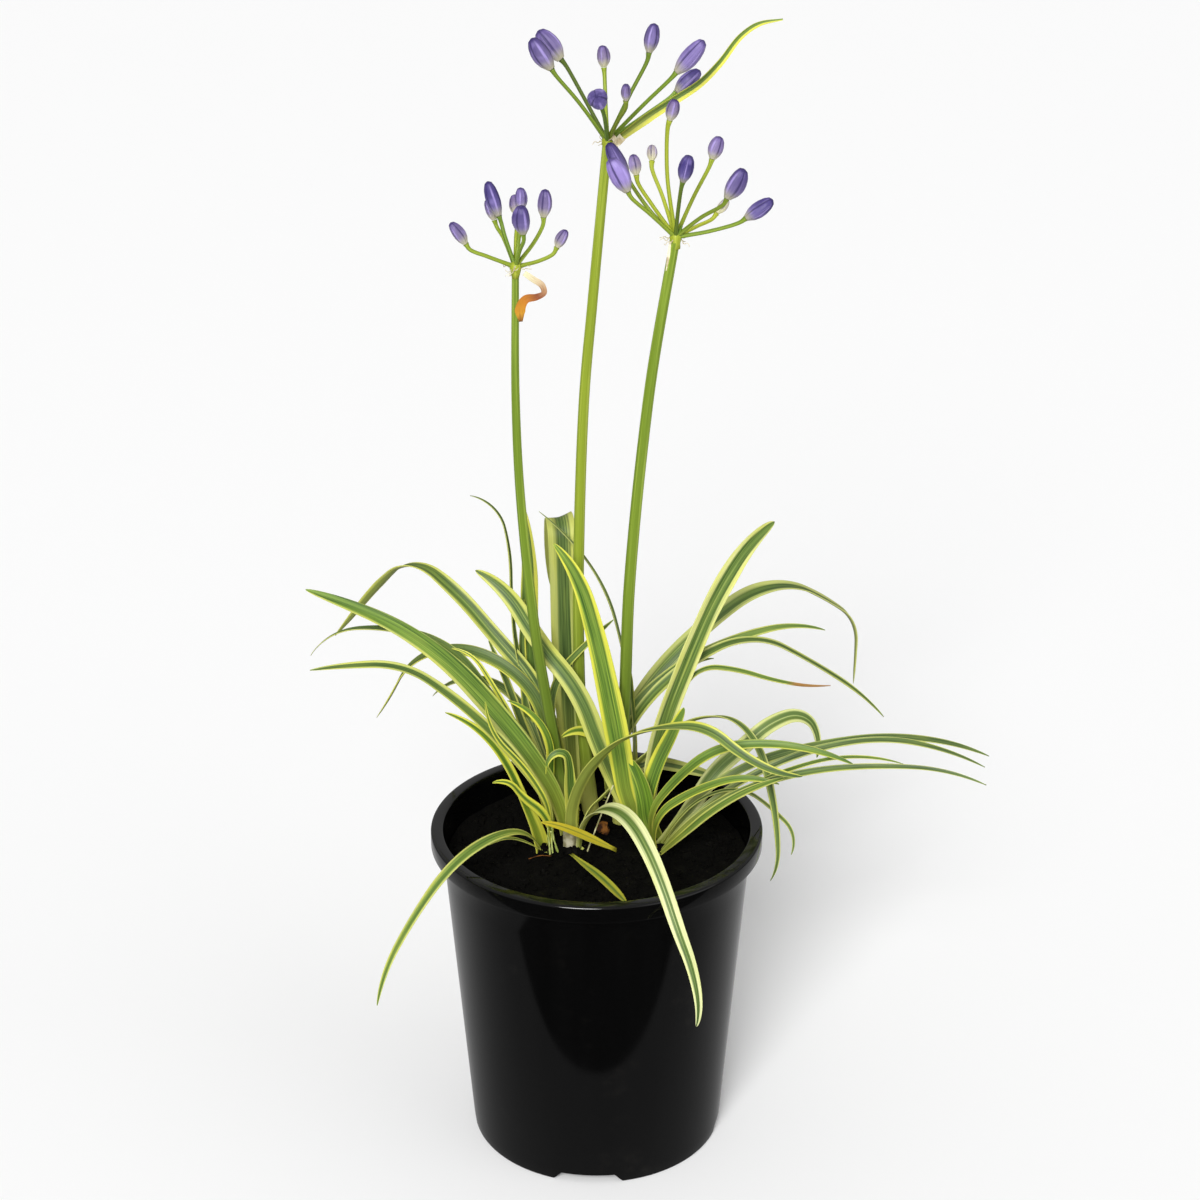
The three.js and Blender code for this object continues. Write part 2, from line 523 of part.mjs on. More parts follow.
function soilSurface() {
  const random = seeded(7);
  const edge = innerRadius(SOIL_TOP) - GAP;
  const rings = [];
  for (let i = 0; i < SOIL_RINGS; i += 1) {
    const radius = edge * (1 - i / SOIL_RINGS);
    rings.push(Array.from({ length: SOIL_SECTORS }, (_, j) => {
      const angle = (2 * Math.PI * j) / SOIL_SECTORS;
      const [x, y] = [radius * Math.cos(angle), radius * Math.sin(angle)];
      const away = Math.hypot(x - CROWN.x, y - CROWN.y) / CROWN.clear;
      const relief = SOIL_RELIEF * (random() - 0.65) * THREE.MathUtils.smoothstep(away, 0.75, 1.1);
      return new THREE.Vector3(x, y, SOIL_TOP + (i === 0 ? 0 : relief));
    }));
  }
  return rings;
}

function buildSoil() {
  const ring = (radius, height) => Array.from({ length: SOIL_SECTORS }, (_, j) => {
    const angle = (2 * Math.PI * j) / SOIL_SECTORS;
    return new THREE.Vector3(radius * Math.cos(angle), radius * Math.sin(angle), height);
  });
  const bottom = FLOOR + GAP;
  const fit = Math.cos(Math.PI / POT_SIDES);   // stays inside the pot's flat facets
  const rings = [ring((innerRadius(bottom) - GAP) * fit - 0.3, bottom),
    ...soilSurface().map((points) => points.map((p) => new THREE.Vector3(p.x * fit, p.y * fit, p.z)))];
  let soil = solidOf(loft(rings));
  for (const angle of recessAngles) soil = soil.subtract(solidOf(recessBlock(angle, WALL + GAP)));
  const holes = [...SHOOTS.map(({ foot, radius }) => [foot, radius + GAP]),
    ...STEMS.map(({ line, radii, foot }) => [line[0], radii[0] + foot + GAP + 1])];
  const [low, high] = [SOIL_TOP - HOLE_DEPTH, SOIL_TOP + 5];
  for (const [[x, y], radius] of holes) {
    const hole = turned([[0, low], [radius, low], [radius, high], [0, high]], NECK_SIDES);
    soil = soil.subtract(solidOf(hole.translate(x, y, 0)));
  }
  addMesh('soil', geometryOf(soil), 'soil');
}

buildPot();
buildSoil();
buildShoots();
buildLooseLeaves();
buildStems();
buildBracts();

export default group;
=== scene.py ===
# %% [markdown]
# # A variegated agapanthus in its nursery pot
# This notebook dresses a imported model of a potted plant. The frame holds every piece at its real place
# and size: the pot, the soil, eight leafy shoots, three flower stems and their buds. Each cell takes
# one piece or one finish, says what it is on the real plant, and builds it fine enough to be seen
# close up. Lengths are worked out in millimetres, as a grower would, and turned to metres at the end.

import math

import bpy
import numpy as np
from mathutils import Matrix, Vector


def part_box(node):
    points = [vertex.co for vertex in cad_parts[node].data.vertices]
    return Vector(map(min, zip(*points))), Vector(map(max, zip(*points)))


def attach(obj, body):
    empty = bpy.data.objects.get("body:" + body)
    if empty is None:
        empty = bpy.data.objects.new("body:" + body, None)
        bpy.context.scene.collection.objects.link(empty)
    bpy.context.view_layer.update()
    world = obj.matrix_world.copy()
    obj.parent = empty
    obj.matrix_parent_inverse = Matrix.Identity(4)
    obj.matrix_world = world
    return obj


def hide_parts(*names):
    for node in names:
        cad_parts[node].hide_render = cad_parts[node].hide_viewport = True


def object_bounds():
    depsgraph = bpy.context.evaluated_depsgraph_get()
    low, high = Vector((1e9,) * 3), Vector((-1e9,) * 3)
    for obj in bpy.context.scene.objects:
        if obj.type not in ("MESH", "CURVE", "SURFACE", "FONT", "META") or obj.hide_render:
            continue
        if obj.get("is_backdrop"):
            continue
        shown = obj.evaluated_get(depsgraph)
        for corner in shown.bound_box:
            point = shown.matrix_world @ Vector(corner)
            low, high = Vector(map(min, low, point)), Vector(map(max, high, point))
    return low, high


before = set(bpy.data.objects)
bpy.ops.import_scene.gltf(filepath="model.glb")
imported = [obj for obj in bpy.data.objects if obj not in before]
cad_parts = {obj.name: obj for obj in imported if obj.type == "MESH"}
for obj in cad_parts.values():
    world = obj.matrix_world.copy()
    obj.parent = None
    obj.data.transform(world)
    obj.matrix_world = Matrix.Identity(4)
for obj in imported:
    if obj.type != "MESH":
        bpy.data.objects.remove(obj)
cad_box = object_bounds()
MM = 0.001
print("frame:", len(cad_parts), "nodes, box", [round(v, 3) for v in cad_box[1] - cad_box[0]])

# %% [markdown]
# ## The camera
# The plant is seen from a little above, as by someone standing in front of a table. A long lens keeps
# the pot's sides nearly parallel. The camera looks at a point half way up the plant, from 1.5 m.

# %% Place the camera
LOOK_AT = Vector((0.002, 0.0, 0.3533))
DISTANCE = 1.5
PITCH = math.radians(23.55)


def set_out(name, data):
    """An object for a mesh, a lamp or a camera, linked to the scene."""
    made = bpy.data.objects.new(name, data)
    bpy.context.scene.collection.objects.link(made)
    return made


camera = set_out("camera", bpy.data.cameras.new("camera"))
bpy.context.scene.camera = camera
camera.location = LOOK_AT + DISTANCE * Vector((0.0, -math.cos(PITCH), math.sin(PITCH)))
camera.rotation_euler = (math.pi / 2 - PITCH, 0.0, 0.0)
camera.data.sensor_width = 36.0
camera.data.lens = 77.5
camera.data.clip_end = 60.0
print("camera at", [round(v, 3) for v in camera.location])

# %% [markdown]
# ## Expressions that become shader nodes
# A material is a graph of small nodes. Wiring each by hand hides the idea, so one small class wraps a
# socket: sums written with it add Math nodes, and one method adds any other node from its type, its
# settings and its inputs.


# %% A socket that can be written into sums
class Wire:
    def __init__(self, tree, socket=None):
        self.tree = tree
        self.socket = socket

    def node(self, kind, settings=None, inputs=None, output=0):
        made = self.tree.nodes.new(kind)
        for name, value in (settings or {}).items():
            if name == "stops":
                while len(made.color_ramp.elements) < len(value):
                    made.color_ramp.elements.new(0.5)
                for element, (place, colour) in zip(made.color_ramp.elements, value):
                    element.position = place
                    element.color = (*colour, 1.0)
            else:
                setattr(made, name, value)
        for name, value in (inputs or {}).items():
            if isinstance(value, Wire):
                self.tree.links.new(value.socket, made.inputs[name])
            elif isinstance(value, tuple) and made.inputs[name].type == "RGBA":
                made.inputs[name].default_value = (*value, 1.0)
            else:
                made.inputs[name].default_value = value
        return Wire(self.tree, made.outputs[output])

    def out(self, output):
        return Wire(self.tree, self.socket.node.outputs[output])

    def math(self, operation, first, second=0.0):
        return self.node("ShaderNodeMath", {"operation": operation}, {0: first, 1: second})

    def __add__(self, other):
        return self.math("ADD", self, other)

    def __sub__(self, other):
        return self.math("SUBTRACT", self, other)

    def __mul__(self, other):
        return self.math("MULTIPLY", self, other)

    def __rsub__(self, other):
        return self.math("SUBTRACT", other, self)

    def __abs__(self):
        return self.math("ABSOLUTE", self)

    __radd__ = __add__
    __rmul__ = __mul__


def step(value, low, high):
    """0 below low, 1 above high and a soft rise between them; falls instead if low is the higher."""
    return value.node("ShaderNodeMapRange", {"interpolation_type": "SMOOTHSTEP"},
                      {"Value": value, "From Min": low, "From Max": high})


def blend(share, first, second):
    """The first colour where share is 0, the second where it is 1."""
    return share.node("ShaderNodeMix", {"data_type": "RGBA"}, {0: share, 6: first, 7: second}, output=2)


def coordinates(start, space="Object"):
    """Where a point lies, as a vector: on its object in metres, or in another space."""
    return start.node("ShaderNodeTexCoord", None, None, output=space)


def split(vector, output=0):
    """One of a vector's three numbers. From the first, out(1) and out(2) give the others."""
    return vector.node("ShaderNodeSeparateXYZ", None, {0: vector}, output=output)


def noise(place, scale, detail=2.0, rough=0.5):
    return place.node("ShaderNodeTexNoise", None,
                      {"Vector": place, "Scale": scale, "Detail": detail, "Roughness": rough})


def triple(x, y, z):
    """Three numbers or wires as one vector."""
    wire = next(w for w in (x, y, z) if isinstance(w, Wire))
    return wire.node("ShaderNodeCombineXYZ", None, {0: x, 1: y, 2: z})


def note(start, name):
    """The three numbers that a piece's builder left at each of its points, as three wires."""
    first = split(start.node("ShaderNodeAttribute", {"attribute_name": name}, None, output="Vector"))
    return first, first.out(1), first.out(2)


def tint(code):
    """A colour written as a screen code, such as 0x7f9a4a, in the linear light that shaders use."""
    parts = [((code >> shift) & 255) / 255 for shift in (16, 8, 0)]
    return tuple(p / 12.92 if p <= 0.04045 else ((p + 0.055) / 1.055) ** 2.4 for p in parts)


def new_finish(name, **plain):
    """A material, its starting wire and its surface shader, with what is the same all over set on it."""
    material = bpy.data.materials.new(name)
    material.use_nodes = True
    surface = material.node_tree.nodes["Principled BSDF"]
    for socket, value in plain.items():
        surface.inputs[socket.replace("_", " ")].default_value = value
    return material, Wire(material.node_tree), surface


def wear(surface, **varying):
    """Joins what changes over the surface to the shader's sockets."""
    for socket, wire in varying.items():
        wire.tree.links.new(wire.socket, surface.inputs[socket.replace("_", " ")])


def bumped(height, strength, distance):
    return height.node("ShaderNodeBump", None, {"Height": height, "Strength": strength, "Distance": distance})


print("helpers for materials are ready")

# %% [markdown]
# ## Skins
# Nearly everything here is a row of rings: a blade's cross sections, a stalk's circles, a pot's profile
# turned round. A skin joins the rings, closes its two ends and carries notes for the shader, such as
# how far along the leaf a point lies. One function turns a list of skins into one piece that rides on
# the plant's body and stands for its node.


# %% Rings, skins and pieces
def once_round(sides):
    """Evenly spaced angles, once round."""
    return np.linspace(0, 2 * np.pi, sides, endpoint=False)


def per_point(shape, *values):
    """Three values, each a number, a row or a column, as three numbers for every point of some rings."""
    return np.stack([np.broadcast_to(value, shape) for value in values], -1).reshape(-1, 3)


def skin(rings, notes=None):
    """Joins closed rings of equally many points. Notes hold three numbers for each point."""
    rings = np.asarray(rings, float)
    rows, count = rings.shape[:2]
    points = rings.reshape(-1, 3)
    i, j = np.meshgrid(np.arange(rows - 1), np.arange(count), indexing="ij")
    across = (j + 1) % count
    faces = np.stack([i * count + j, i * count + across, (i + 1) * count + across, (i + 1) * count + j], -1)
    faces = faces.reshape(-1, 4)
    a, b, c, d = (points[faces[:, k]] for k in range(4))
    volume = np.einsum("ij,ij->", np.cross(c - a, d - b), (a + b + c + d) / 4)
    last = (rows - 1) * count
    caps = [list(range(count))[::-1], list(range(last, last + count))]
    if volume < 0:
        faces = faces[:, ::-1]
        caps = [cap[::-1] for cap in caps]
    return {"points": points, "faces": faces.tolist() + caps, "notes": notes or {}}


def piece(name, skins, finish=None, stands_for=(), crease=None):
    """One object made of skins in millimetres, that rides on the plant's one body."""
    points, faces = [], []
    start = 0
    for part in skins:
        points.append(part["points"])
        faces += [[v + start for v in face] for face in part["faces"]]
        start += len(part["points"])
    mesh = bpy.data.meshes.new(name)
    mesh.from_pydata((np.concatenate(points) * MM).tolist(), [], faces)
    for label in sorted({label for part in skins for label in part["notes"]}):
        values = [part["notes"].get(label, np.zeros((len(part["points"]), 3))) for part in skins]
        attribute = mesh.attributes.new(label, "FLOAT_VECTOR", "POINT")
        attribute.data.foreach_set("vector", np.concatenate(values).astype(np.float32).ravel())
    if finish:
        mesh.materials.append(finish)
    mesh.shade_smooth()
    if crease is not None:
        mesh.set_sharp_from_angle(angle=math.radians(crease))
    made = set_out(name, mesh)
    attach(made, "root")
    if stands_for:
        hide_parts(*stands_for)
    return made


def gaps(line):
    """The distances from each point of a line to the next."""
    return np.linalg.norm(np.diff(line, axis=0), axis=1)


def running(steps):
    """How far along a line each of its points lies, from the steps between them."""
    return np.concatenate([[0], np.cumsum(steps)])


def smooth_line(points, count):
    """Evenly spaced points on a smooth curve through the given ones."""
    given = np.array(points, float)
    given = np.vstack([2 * given[0] - given[1], given, 2 * given[-1] - given[-2]])
    knots = running(gaps(given) ** 0.5)

    def between(t, low, high, first, second):
        return ((knots[high] - t) * first + (t - knots[low]) * second) / (knots[high] - knots[low])

    dense = []
    for i in range(1, len(given) - 2):
        t = np.linspace(knots[i], knots[i + 1], 24, endpoint=i == len(given) - 3)[:, None]
        first = between(t, i - 1, i, given[i - 1], given[i])
        second = between(t, i, i + 1, given[i], given[i + 1])
        third = between(t, i + 1, i + 2, given[i + 1], given[i + 2])
        dense.append(between(t, i, i + 1, between(t, i - 1, i + 1, first, second),
                             between(t, i, i + 2, second, third)))
    dense = np.vstack(dense)
    lengths = running(gaps(dense))
    even = np.linspace(0, lengths[-1], count)
    return np.stack([np.interp(even, lengths, dense[:, k]) for k in range(3)], 1)


def frames_along(line):
    """Two directions across a line at each of its points, carried along it without twisting."""
    along = np.gradient(line, axis=0)
    along /= np.linalg.norm(along, axis=1)[:, None]
    seed = np.eye(3)[np.argmin(abs(along[0]))]
    across = [np.cross(along[0], seed)]
    for direction in along:
        kept = across[-1] - (across[-1] @ direction) * direction
        across.append(kept / np.linalg.norm(kept))
    across = np.array(across[1:])
    return along, across, np.cross(along, across)


def tube(line, radius, sides, rib=0.0, ribs=5, looks=(0.0, 0.0, 0.0)):
    """A round stalk. Its notes: round the stalk, millimetres along it, and its share of the length."""
    line = np.asarray(line, float)
    radius = np.broadcast_to(radius, len(line))
    _, across, other = frames_along(line)
    angle = once_round(sides)
    swell = 1 + rib * np.cos(ribs * angle)
    rings = line[:, None] + radius[:, None, None] * swell[None, :, None] * (
        np.cos(angle)[None, :, None] * across[:, None] + np.sin(angle)[None, :, None] * other[:, None])
    shape = (len(line), sides)
    lengths = running(gaps(line))[:, None]
    return skin(rings, {"place": per_point(shape, angle, lengths, lengths / lengths[-1]),
                        "looks": per_point(shape, *looks)})


def lathe(profile, sides, middle=(0.0, 0.0, 0.0)):
    """A profile of [radius, height] pairs turned about the upright line through its middle."""
    rings = [[(r * math.cos(a), r * math.sin(a), h) for a in once_round(sides)] for r, h in profile]
    return skin(np.array(rings) + np.array(middle))


print("helpers for meshes are ready")

# %% [markdown]
# ## The stage
# A pale floor and soft light from all sides, as in a product picture. Black gloss plastic shows nothing
# but what stands round it, so its reflection is painted: a glowing sheet that only the gloss sees, dimmer
# in front, ends a little in front of the pot, which leaves a dark arch in the middle of the gloss.

# %% Floor and light
FLOOR_COLOUR = (0.92, 0.92, 0.92)
FLOOR_REACH = 30            # half the width of the floor, in metres
SHEET_EDGE = -0.175         # how far in front the glowing sheet of the painted reflection ends, in metres
WHITE = (1.0, 1.0, 1.0)


def flat_stage(name, low, high, height, material):
    """A level sheet between two corners, in metres."""
    corners = [(low[0], low[1], height), (high[0], low[1], height),
               (high[0], high[1], height), (low[0], high[1], height)]
    mesh = bpy.data.meshes.new(name)
    mesh.from_pydata(corners, [], [(0, 1, 2, 3)])
    mesh.materials.append(material)
    made = set_out(name, mesh)
    made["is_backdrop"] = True
    return made


floor_finish, _, _ = new_finish("pale_floor", Base_Color=(*FLOOR_COLOUR, 1.0), Roughness=0.9)
floor = flat_stage("floor", (-FLOOR_REACH, -FLOOR_REACH), (FLOOR_REACH, FLOOR_REACH), 0.0, floor_finish)
floor.visible_glossy = False

reflection_glow_finish = bpy.data.materials.new("glowing_reflection_sheet")
reflection_glow_finish.use_nodes = True
sheet_tree = reflection_glow_finish.node_tree
sheet_tree.nodes.remove(sheet_tree.nodes["Principled BSDF"])
sheet_light = Wire(sheet_tree)
depth = split(coordinates(sheet_light), 1)
# painted reflection: the sheet glows for the gloss alone, dimmer in front of the pot than behind it
glow = sheet_light.node("ShaderNodeEmission", None, {
    "Color": WHITE, "Strength": 0.2 + 0.3 * step(depth, -0.15, 0.2)})
sheet_tree.links.new(glow.socket, sheet_tree.nodes["Material Output"].inputs["Surface"])
sheet = flat_stage("glowing_reflection_sheet", (-2, SHEET_EDGE), (2, 3), -0.002, reflection_glow_finish)
for ray in ("camera", "diffuse", "transmission", "shadow", "volume_scatter"):
    setattr(sheet, "visible_" + ray, False)

world = bpy.data.worlds.new("studio")
bpy.context.scene.world = world
world.use_nodes = True
background = world.node_tree.nodes["Background"]
height = split(coordinates(Wire(world.node_tree), "Generated"), 2)
brightness = 0.03 + 0.42 * step(height, -0.02, 0.3)
world.node_tree.links.new(brightness.socket, background.inputs["Strength"])
background.inputs["Color"].default_value = (*WHITE, 1.0)


def soft_sun(name, azimuth, elevation, strength, size):
    """A broad soft lamp far away. Azimuth 0 stands in front of the plant and 90 on its right."""
    light = bpy.data.lights.new(name, "SUN")
    light.energy = strength
    light.angle = math.radians(size)
    a, e = math.radians(azimuth), math.radians(elevation)
    towards = Vector((math.sin(a) * math.cos(e), -math.cos(a) * math.cos(e), math.sin(e)))
    set_out(name, light).rotation_euler = towards.to_track_quat("Z", "Y").to_euler()


soft_sun("key_light", -12, 34, 3.2, 24)
soft_sun("fill_light", 60, 30, 0.35, 50)
bpy.context.scene.view_settings.view_transform = "Standard"
print("stage:", len(bpy.data.lights), "lights")

# %% [markdown]
# ## The pot's plastic
# Recycled black plastic, injection moulded: nearly black, glossy, with faint upright flow marks from
# the mould, tiny scuffs and a trace of dried dirt round the rim. Only the roughness and a very low
# bump vary, because the colour hardly does.

# %% Black moulded plastic
def drawn_out(spot, scale, detail):
    """Noise with its own scale along each direction."""
    return noise(spot.node("ShaderNodeMapping", None, {"Vector": spot, "Scale": scale}), 1.0, detail)


plastic, start, surface = new_finish("black_plastic", Specular_IOR_Level=0.36)
spot = coordinates(start)
flow = drawn_out(spot, (60.0, 60.0, 3.0), 3.0)
scuffs = drawn_out(spot, (90.0, 90.0, 700.0), 4.0)
dust = noise(spot, 38.0, 6.0, 0.7)
grime = step(dust, 0.56, 0.78)
wear(surface,
     Base_Color=blend(grime, blend(flow, tint(0x020202), tint(0x070707)), tint(0x12110f)),
     Roughness=0.05 + 0.1 * flow + 0.2 * step(scuffs, 0.62, 0.8) * step(dust, 0.5, 0.65) + 0.1 * grime,
     Normal=bumped(0.8 * flow + 0.2 * noise(spot, 900.0, 2.0), 0.06, 0.0005))
print("plastic:", len(plastic.node_tree.nodes), "nodes")

# %% [markdown]
# ## The pot
# A thin wall that widens upwards, a folded lip that stiffens the rim, and four low arches round the
# foot that let water out. The wall is a turned profile with rounded corners. The arches are cut with
# a boolean, as they are in the mould, and each has a drain hole in its roof.

# %% Turn the pot and cut its foot
pot_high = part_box("pot")[1]
POT_HEIGHT = pot_high.z / MM
RIM_RADIUS = pot_high.x / MM
WALL = 1.8
WALL_TOP_RADIUS = 0.94 * RIM_RADIUS
BASE_RADIUS = 0.77 * RIM_RADIUS
LIP_HEIGHT = 10.5
POT_FLOOR = 2.4
POT_SIDES = 240
POT_CREASE = 35             # degrees past which an edge between faces is sharp
taper = (WALL_TOP_RADIUS - BASE_RADIUS) / POT_HEIGHT


def wall_radius(height):
    return BASE_RADIUS + taper * height


def corner(centre, radius, start_angle, end_angle, count=5):
    """Points on the arc that rounds a profile's corner, with angles in degrees."""
    angles = np.radians(np.linspace(start_angle, end_angle, count))
    return [(centre[0] + radius * math.cos(a), centre[1] + radius * math.sin(a)) for a in angles]


def pot_profile():
    top, lip = POT_HEIGHT, POT_HEIGHT - LIP_HEIGHT
    under = top - WALL - 0.6
    inner = wall_radius(top) - WALL
    rows = [(0.01, 0.0), (BASE_RADIUS * 0.5, 0.0)]
    rows += corner((BASE_RADIUS - 1.5, 1.5), 1.5, -90, -5)
    rows += [(wall_radius(h), h) for h in np.linspace(8, under - 1.0, 9)]
    rows += corner((wall_radius(under) + 0.8, under - 0.8), 0.8, 180, 90, 3)
    rows += corner((RIM_RADIUS - WALL - 0.6, under - 0.6), 0.6, 90, 0, 3)
    rows += [(RIM_RADIUS - WALL, lip + 0.4)]
    rows += corner((RIM_RADIUS - 0.9, lip + 0.9), 0.9, -180, 0)
    rows += corner((RIM_RADIUS - 1.7, top - 1.7), 1.7, 0, 90)
    rows += corner((inner + 1.5, top - 1.5), 1.5, 90, 175)
    rows += [(wall_radius(h) - WALL, h) for h in np.linspace(top - 6, POT_FLOOR + 3, 9)]
    rows += corner((wall_radius(POT_FLOOR) - WALL - 2.5, POT_FLOOR + 2.5), 2.5, 0, -90)
    return rows + [(BASE_RADIUS * 0.5, POT_FLOOR), (0.01, POT_FLOOR)]


RECESSES = 4
FIRST_RECESS = -0.07
RECESS_WIDTH = 42.0
RECESS_HEIGHT = 6.0
RECESS_SLOPE = 0.8
RECESS_INNER = 58.0
DRAIN_RADIUS = 5.0
DRAIN_REACH = (RECESS_INNER + BASE_RADIUS) / 2      # from the pot's middle to each drain hole
OUTSIDE = 90.0              # a radius that is past the wall at the foot


def turned(angle):
    """The matrix that turns points, written as rows, about the upright line."""
    c, s = math.cos(angle), math.sin(angle)
    return np.array([[c, s, 0], [-s, c, 0], [0, 0, 1]])


def recess_block(angle, extra, low):
    """The wedge that one foot arch takes out, made extra mm bigger for the roof over it."""
    half, top = RECESS_WIDTH / 2 + extra, RECESS_HEIGHT + extra
    roof = half - top * RECESS_SLOPE
    outline = [(-half, low), (half, low), (half, 0.6), (roof, top), (-roof, top), (-half, 0.6)]
    rings = [[(x, depth, z) for x, z in outline] for depth in (RECESS_INNER - extra, OUTSIDE)]
    return skin(np.array(rings) @ turned(angle))


def inside_of_wall():
    """A plug that keeps what is joined to the foot inside the wall."""
    return lathe([(wall_radius(h) - 0.5, h) for h in (0.3, 30.0)], POT_SIDES)


def as_tool(name, shape):
    """A plain object for a boolean, which goes once it is used."""
    made = piece(name, [shape])
    made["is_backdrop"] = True
    return made


def cut(target, tool, operation):
    """Joins a tool to the target, takes it out or keeps what they share."""
    modifier = target.modifiers.new("cut", "BOOLEAN")
    modifier.operation = operation
    modifier.solver = "EXACT"
    modifier.object = tool
    bpy.context.view_layer.update()
    shaped = bpy.data.meshes.new_from_object(target.evaluated_get(bpy.context.evaluated_depsgraph_get()))
    target.modifiers.clear()
    target.data = shaped
    bpy.data.objects.remove(tool)


pot = piece("nursery_pot", [lathe(pot_profile(), POT_SIDES)], plastic, ["pot"])
recess_angles = [FIRST_RECESS + 2 * math.pi * i / RECESSES for i in range(RECESSES)]
for angle in recess_angles:
    roof = as_tool("roof", recess_block(angle, WALL, 0.4))
    cut(roof, as_tool("plug", inside_of_wall()), "INTERSECT")
    cut(pot, roof, "UNION")
for angle in recess_angles:
    cut(pot, as_tool("arch", recess_block(angle, 0.0, -5.0)), "DIFFERENCE")
    centre = (-DRAIN_REACH * math.sin(angle), DRAIN_REACH * math.cos(angle), 0)
    cut(pot, as_tool("drain", lathe([(DRAIN_RADIUS, -4), (DRAIN_RADIUS, 16)], 32, centre)), "DIFFERENCE")
pot.data.shade_smooth()
pot.data.set_sharp_from_angle(angle=math.radians(POT_CREASE))
print("pot:", len(pot.data.polygons), "faces")

# %% [markdown]
# ## Potting mix
# Composted bark and peat, wet and almost black. Its surface is a low relief with crumbs of bark lying
# on it. The relief is a fine disc moved up and down by layered noise, and the crumbs are small
# irregular lumps in one mesh, scattered by a seeded draw.

# %% Soil finish
earth, start, surface = new_finish("potting_mix", Specular_IOR_Level=0.06)
spot = coordinates(start)
grain = noise(spot, 420.0, 5.0, 0.65)
clods = noise(spot, 90.0, 3.0)
fleck = step(noise(spot, 1500.0, 1.0), 0.72, 0.78)
wet = blend(grain * clods * 2.2, tint(0x010101), tint(0x0d0c09))
wear(surface,
     Base_Color=blend(fleck * 0.6, wet, tint(0x3a3428)),
     Roughness=0.95 - 0.35 * step(clods, 0.55, 0.7),
     Normal=bumped(grain + 0.6 * clods, 0.7, 0.0012))
print("potting mix:", len(earth.node_tree.nodes), "nodes")

# %% Soil surface
SOIL_TOP = 188.0
SOIL_GAP = 0.35
RELIEF_REACH = 120          # half the side of the square that the relief is worked out for
CRUMBS = 1700
CRUMB_CREASE = 30
draw = np.random.default_rng(11)


def value_noise(x, y, cell, generator):
    """Smooth random relief between -1 and 1, with bumps about a cell wide."""
    size = int(2 * RELIEF_REACH / cell) + 3
    grid = generator.uniform(-1, 1, (size, size))
    u, v = (x + RELIEF_REACH) / cell, (y + RELIEF_REACH) / cell
    i, j = np.floor(u).astype(int), np.floor(v).astype(int)
    a, b = u - i, v - j
    a, b = a * a * (3 - 2 * a), b * b * (3 - 2 * b)
    low = grid[i, j] * (1 - a) + grid[i + 1, j] * a
    high = grid[i, j + 1] * (1 - a) + grid[i + 1, j + 1] * a
    return low * (1 - b) + high * b


def soil_relief(x, y):
    """Four layers of bumps, and a low mound where the mix lies heaped in front of the crown."""
    generator = np.random.default_rng(5)
    layers = [(26, 0.7), (9, 0.55), (4, 0.4), (1.9, 0.25)]
    height = sum(size * value_noise(x, y, cell, generator) for cell, size in layers)
    mound = 1.6 * np.exp(-((x + 16) ** 2 + (y - 4) ** 2) / 260)
    return height - 0.6 + mound


def soil_edge(height):
    return wall_radius(height) - WALL - SOIL_GAP


def soil_skin():
    angle = once_round(220)
    bottom = POT_FLOOR + RECESS_HEIGHT + WALL + 1.0
    rings = [np.stack([radius * np.cos(angle), radius * np.sin(angle), np.full(len(angle), bottom)], 1)
             for radius in (1.0, soil_edge(bottom))]
    for radius in soil_edge(SOIL_TOP) * (1 - np.linspace(0, 0.985, 84)):
        x, y = radius * np.cos(angle), radius * np.sin(angle)
        rings.append(np.stack([x, y, SOIL_TOP + soil_relief(x, y)], 1))
    return skin(rings)


def lump(centre, size, flat, generator):
    """A crumb: a squashed ball of 4 rings and 6 sides with every point nudged."""
    angle = once_round(6)
    rows = []
    for share, height in ((0.35, -0.8), (1.0, -0.25), (0.95, 0.35), (0.3, 0.85)):
        rows.append(np.stack([share * np.cos(angle), share * np.sin(angle), np.full(6, height * flat)], 1))
    rings = np.array(rows) * size * generator.uniform(0.72, 1.28, (4, 6, 1))
    around = turned(generator.uniform(0, 2 * np.pi))
    tilt = generator.uniform(-0.5, 0.5)
    c, s = math.cos(tilt), math.sin(tilt)
    return skin(rings @ np.array([[c, 0, -s], [0, 1, 0], [s, 0, c]]) @ around + centre)


def crumbs():
    """Crumbs scattered over the surface, a few large ones among many small."""
    made = []
    edge = wall_radius(SOIL_TOP) - WALL - 3.5
    for _ in range(CRUMBS):
        radius, angle = edge * math.sqrt(draw.uniform()), draw.uniform(0, 2 * math.pi)
        x, y = radius * math.cos(angle), radius * math.sin(angle)
        size = 0.5 + 2.1 * draw.uniform() ** 3
        stretch = draw.uniform(0.35, 0.9)
        height = SOIL_TOP + float(soil_relief(np.array([x]), np.array([y]))[0]) + 0.25 * size
        made.append(lump((x, y, height), size, stretch, draw))
    return made


soil = piece("soil_surface", [soil_skin()], earth, ["soil"])
soil_crumbs = piece("soil_crumbs", crumbs(), earth, crease=CRUMB_CREASE)
print("soil:", len(soil.data.polygons), "faces and", len(soil_crumbs.data.polygons), "in the crumbs")

# %% [markdown]
# ## The striped leaf
# A variegated agapanthus leaf is grey-green down the middle, with fine darker lines that run with the
# veins, and cream to yellow along both margins. Every leaf has its own share of margin, so the shader
# reads notes left in the mesh: where on the blade a point is, how wide the two margins are, how yellow
# and how fresh the leaf is. Noise stretched along the blade breaks the borders into streaks.

# %% Leaf finish
DULL_DARK, DULL_LIGHT = tint(0x344920), tint(0x6a8040)
FRESH_DARK, FRESH_LIGHT = tint(0x325612), tint(0x7a9a2e)
CREAM, PALE_CREAM, YELLOW = tint(0xb8bd70), tint(0xe2e5ae), tint(0xd6d342)
FOOT_PALE, UNDER_OLIVE = tint(0xaaa83a), tint(0x8f9640)
DRY_LIGHT, DRY_DARK = tint(0xb98a4a), tint(0x6b4a22)


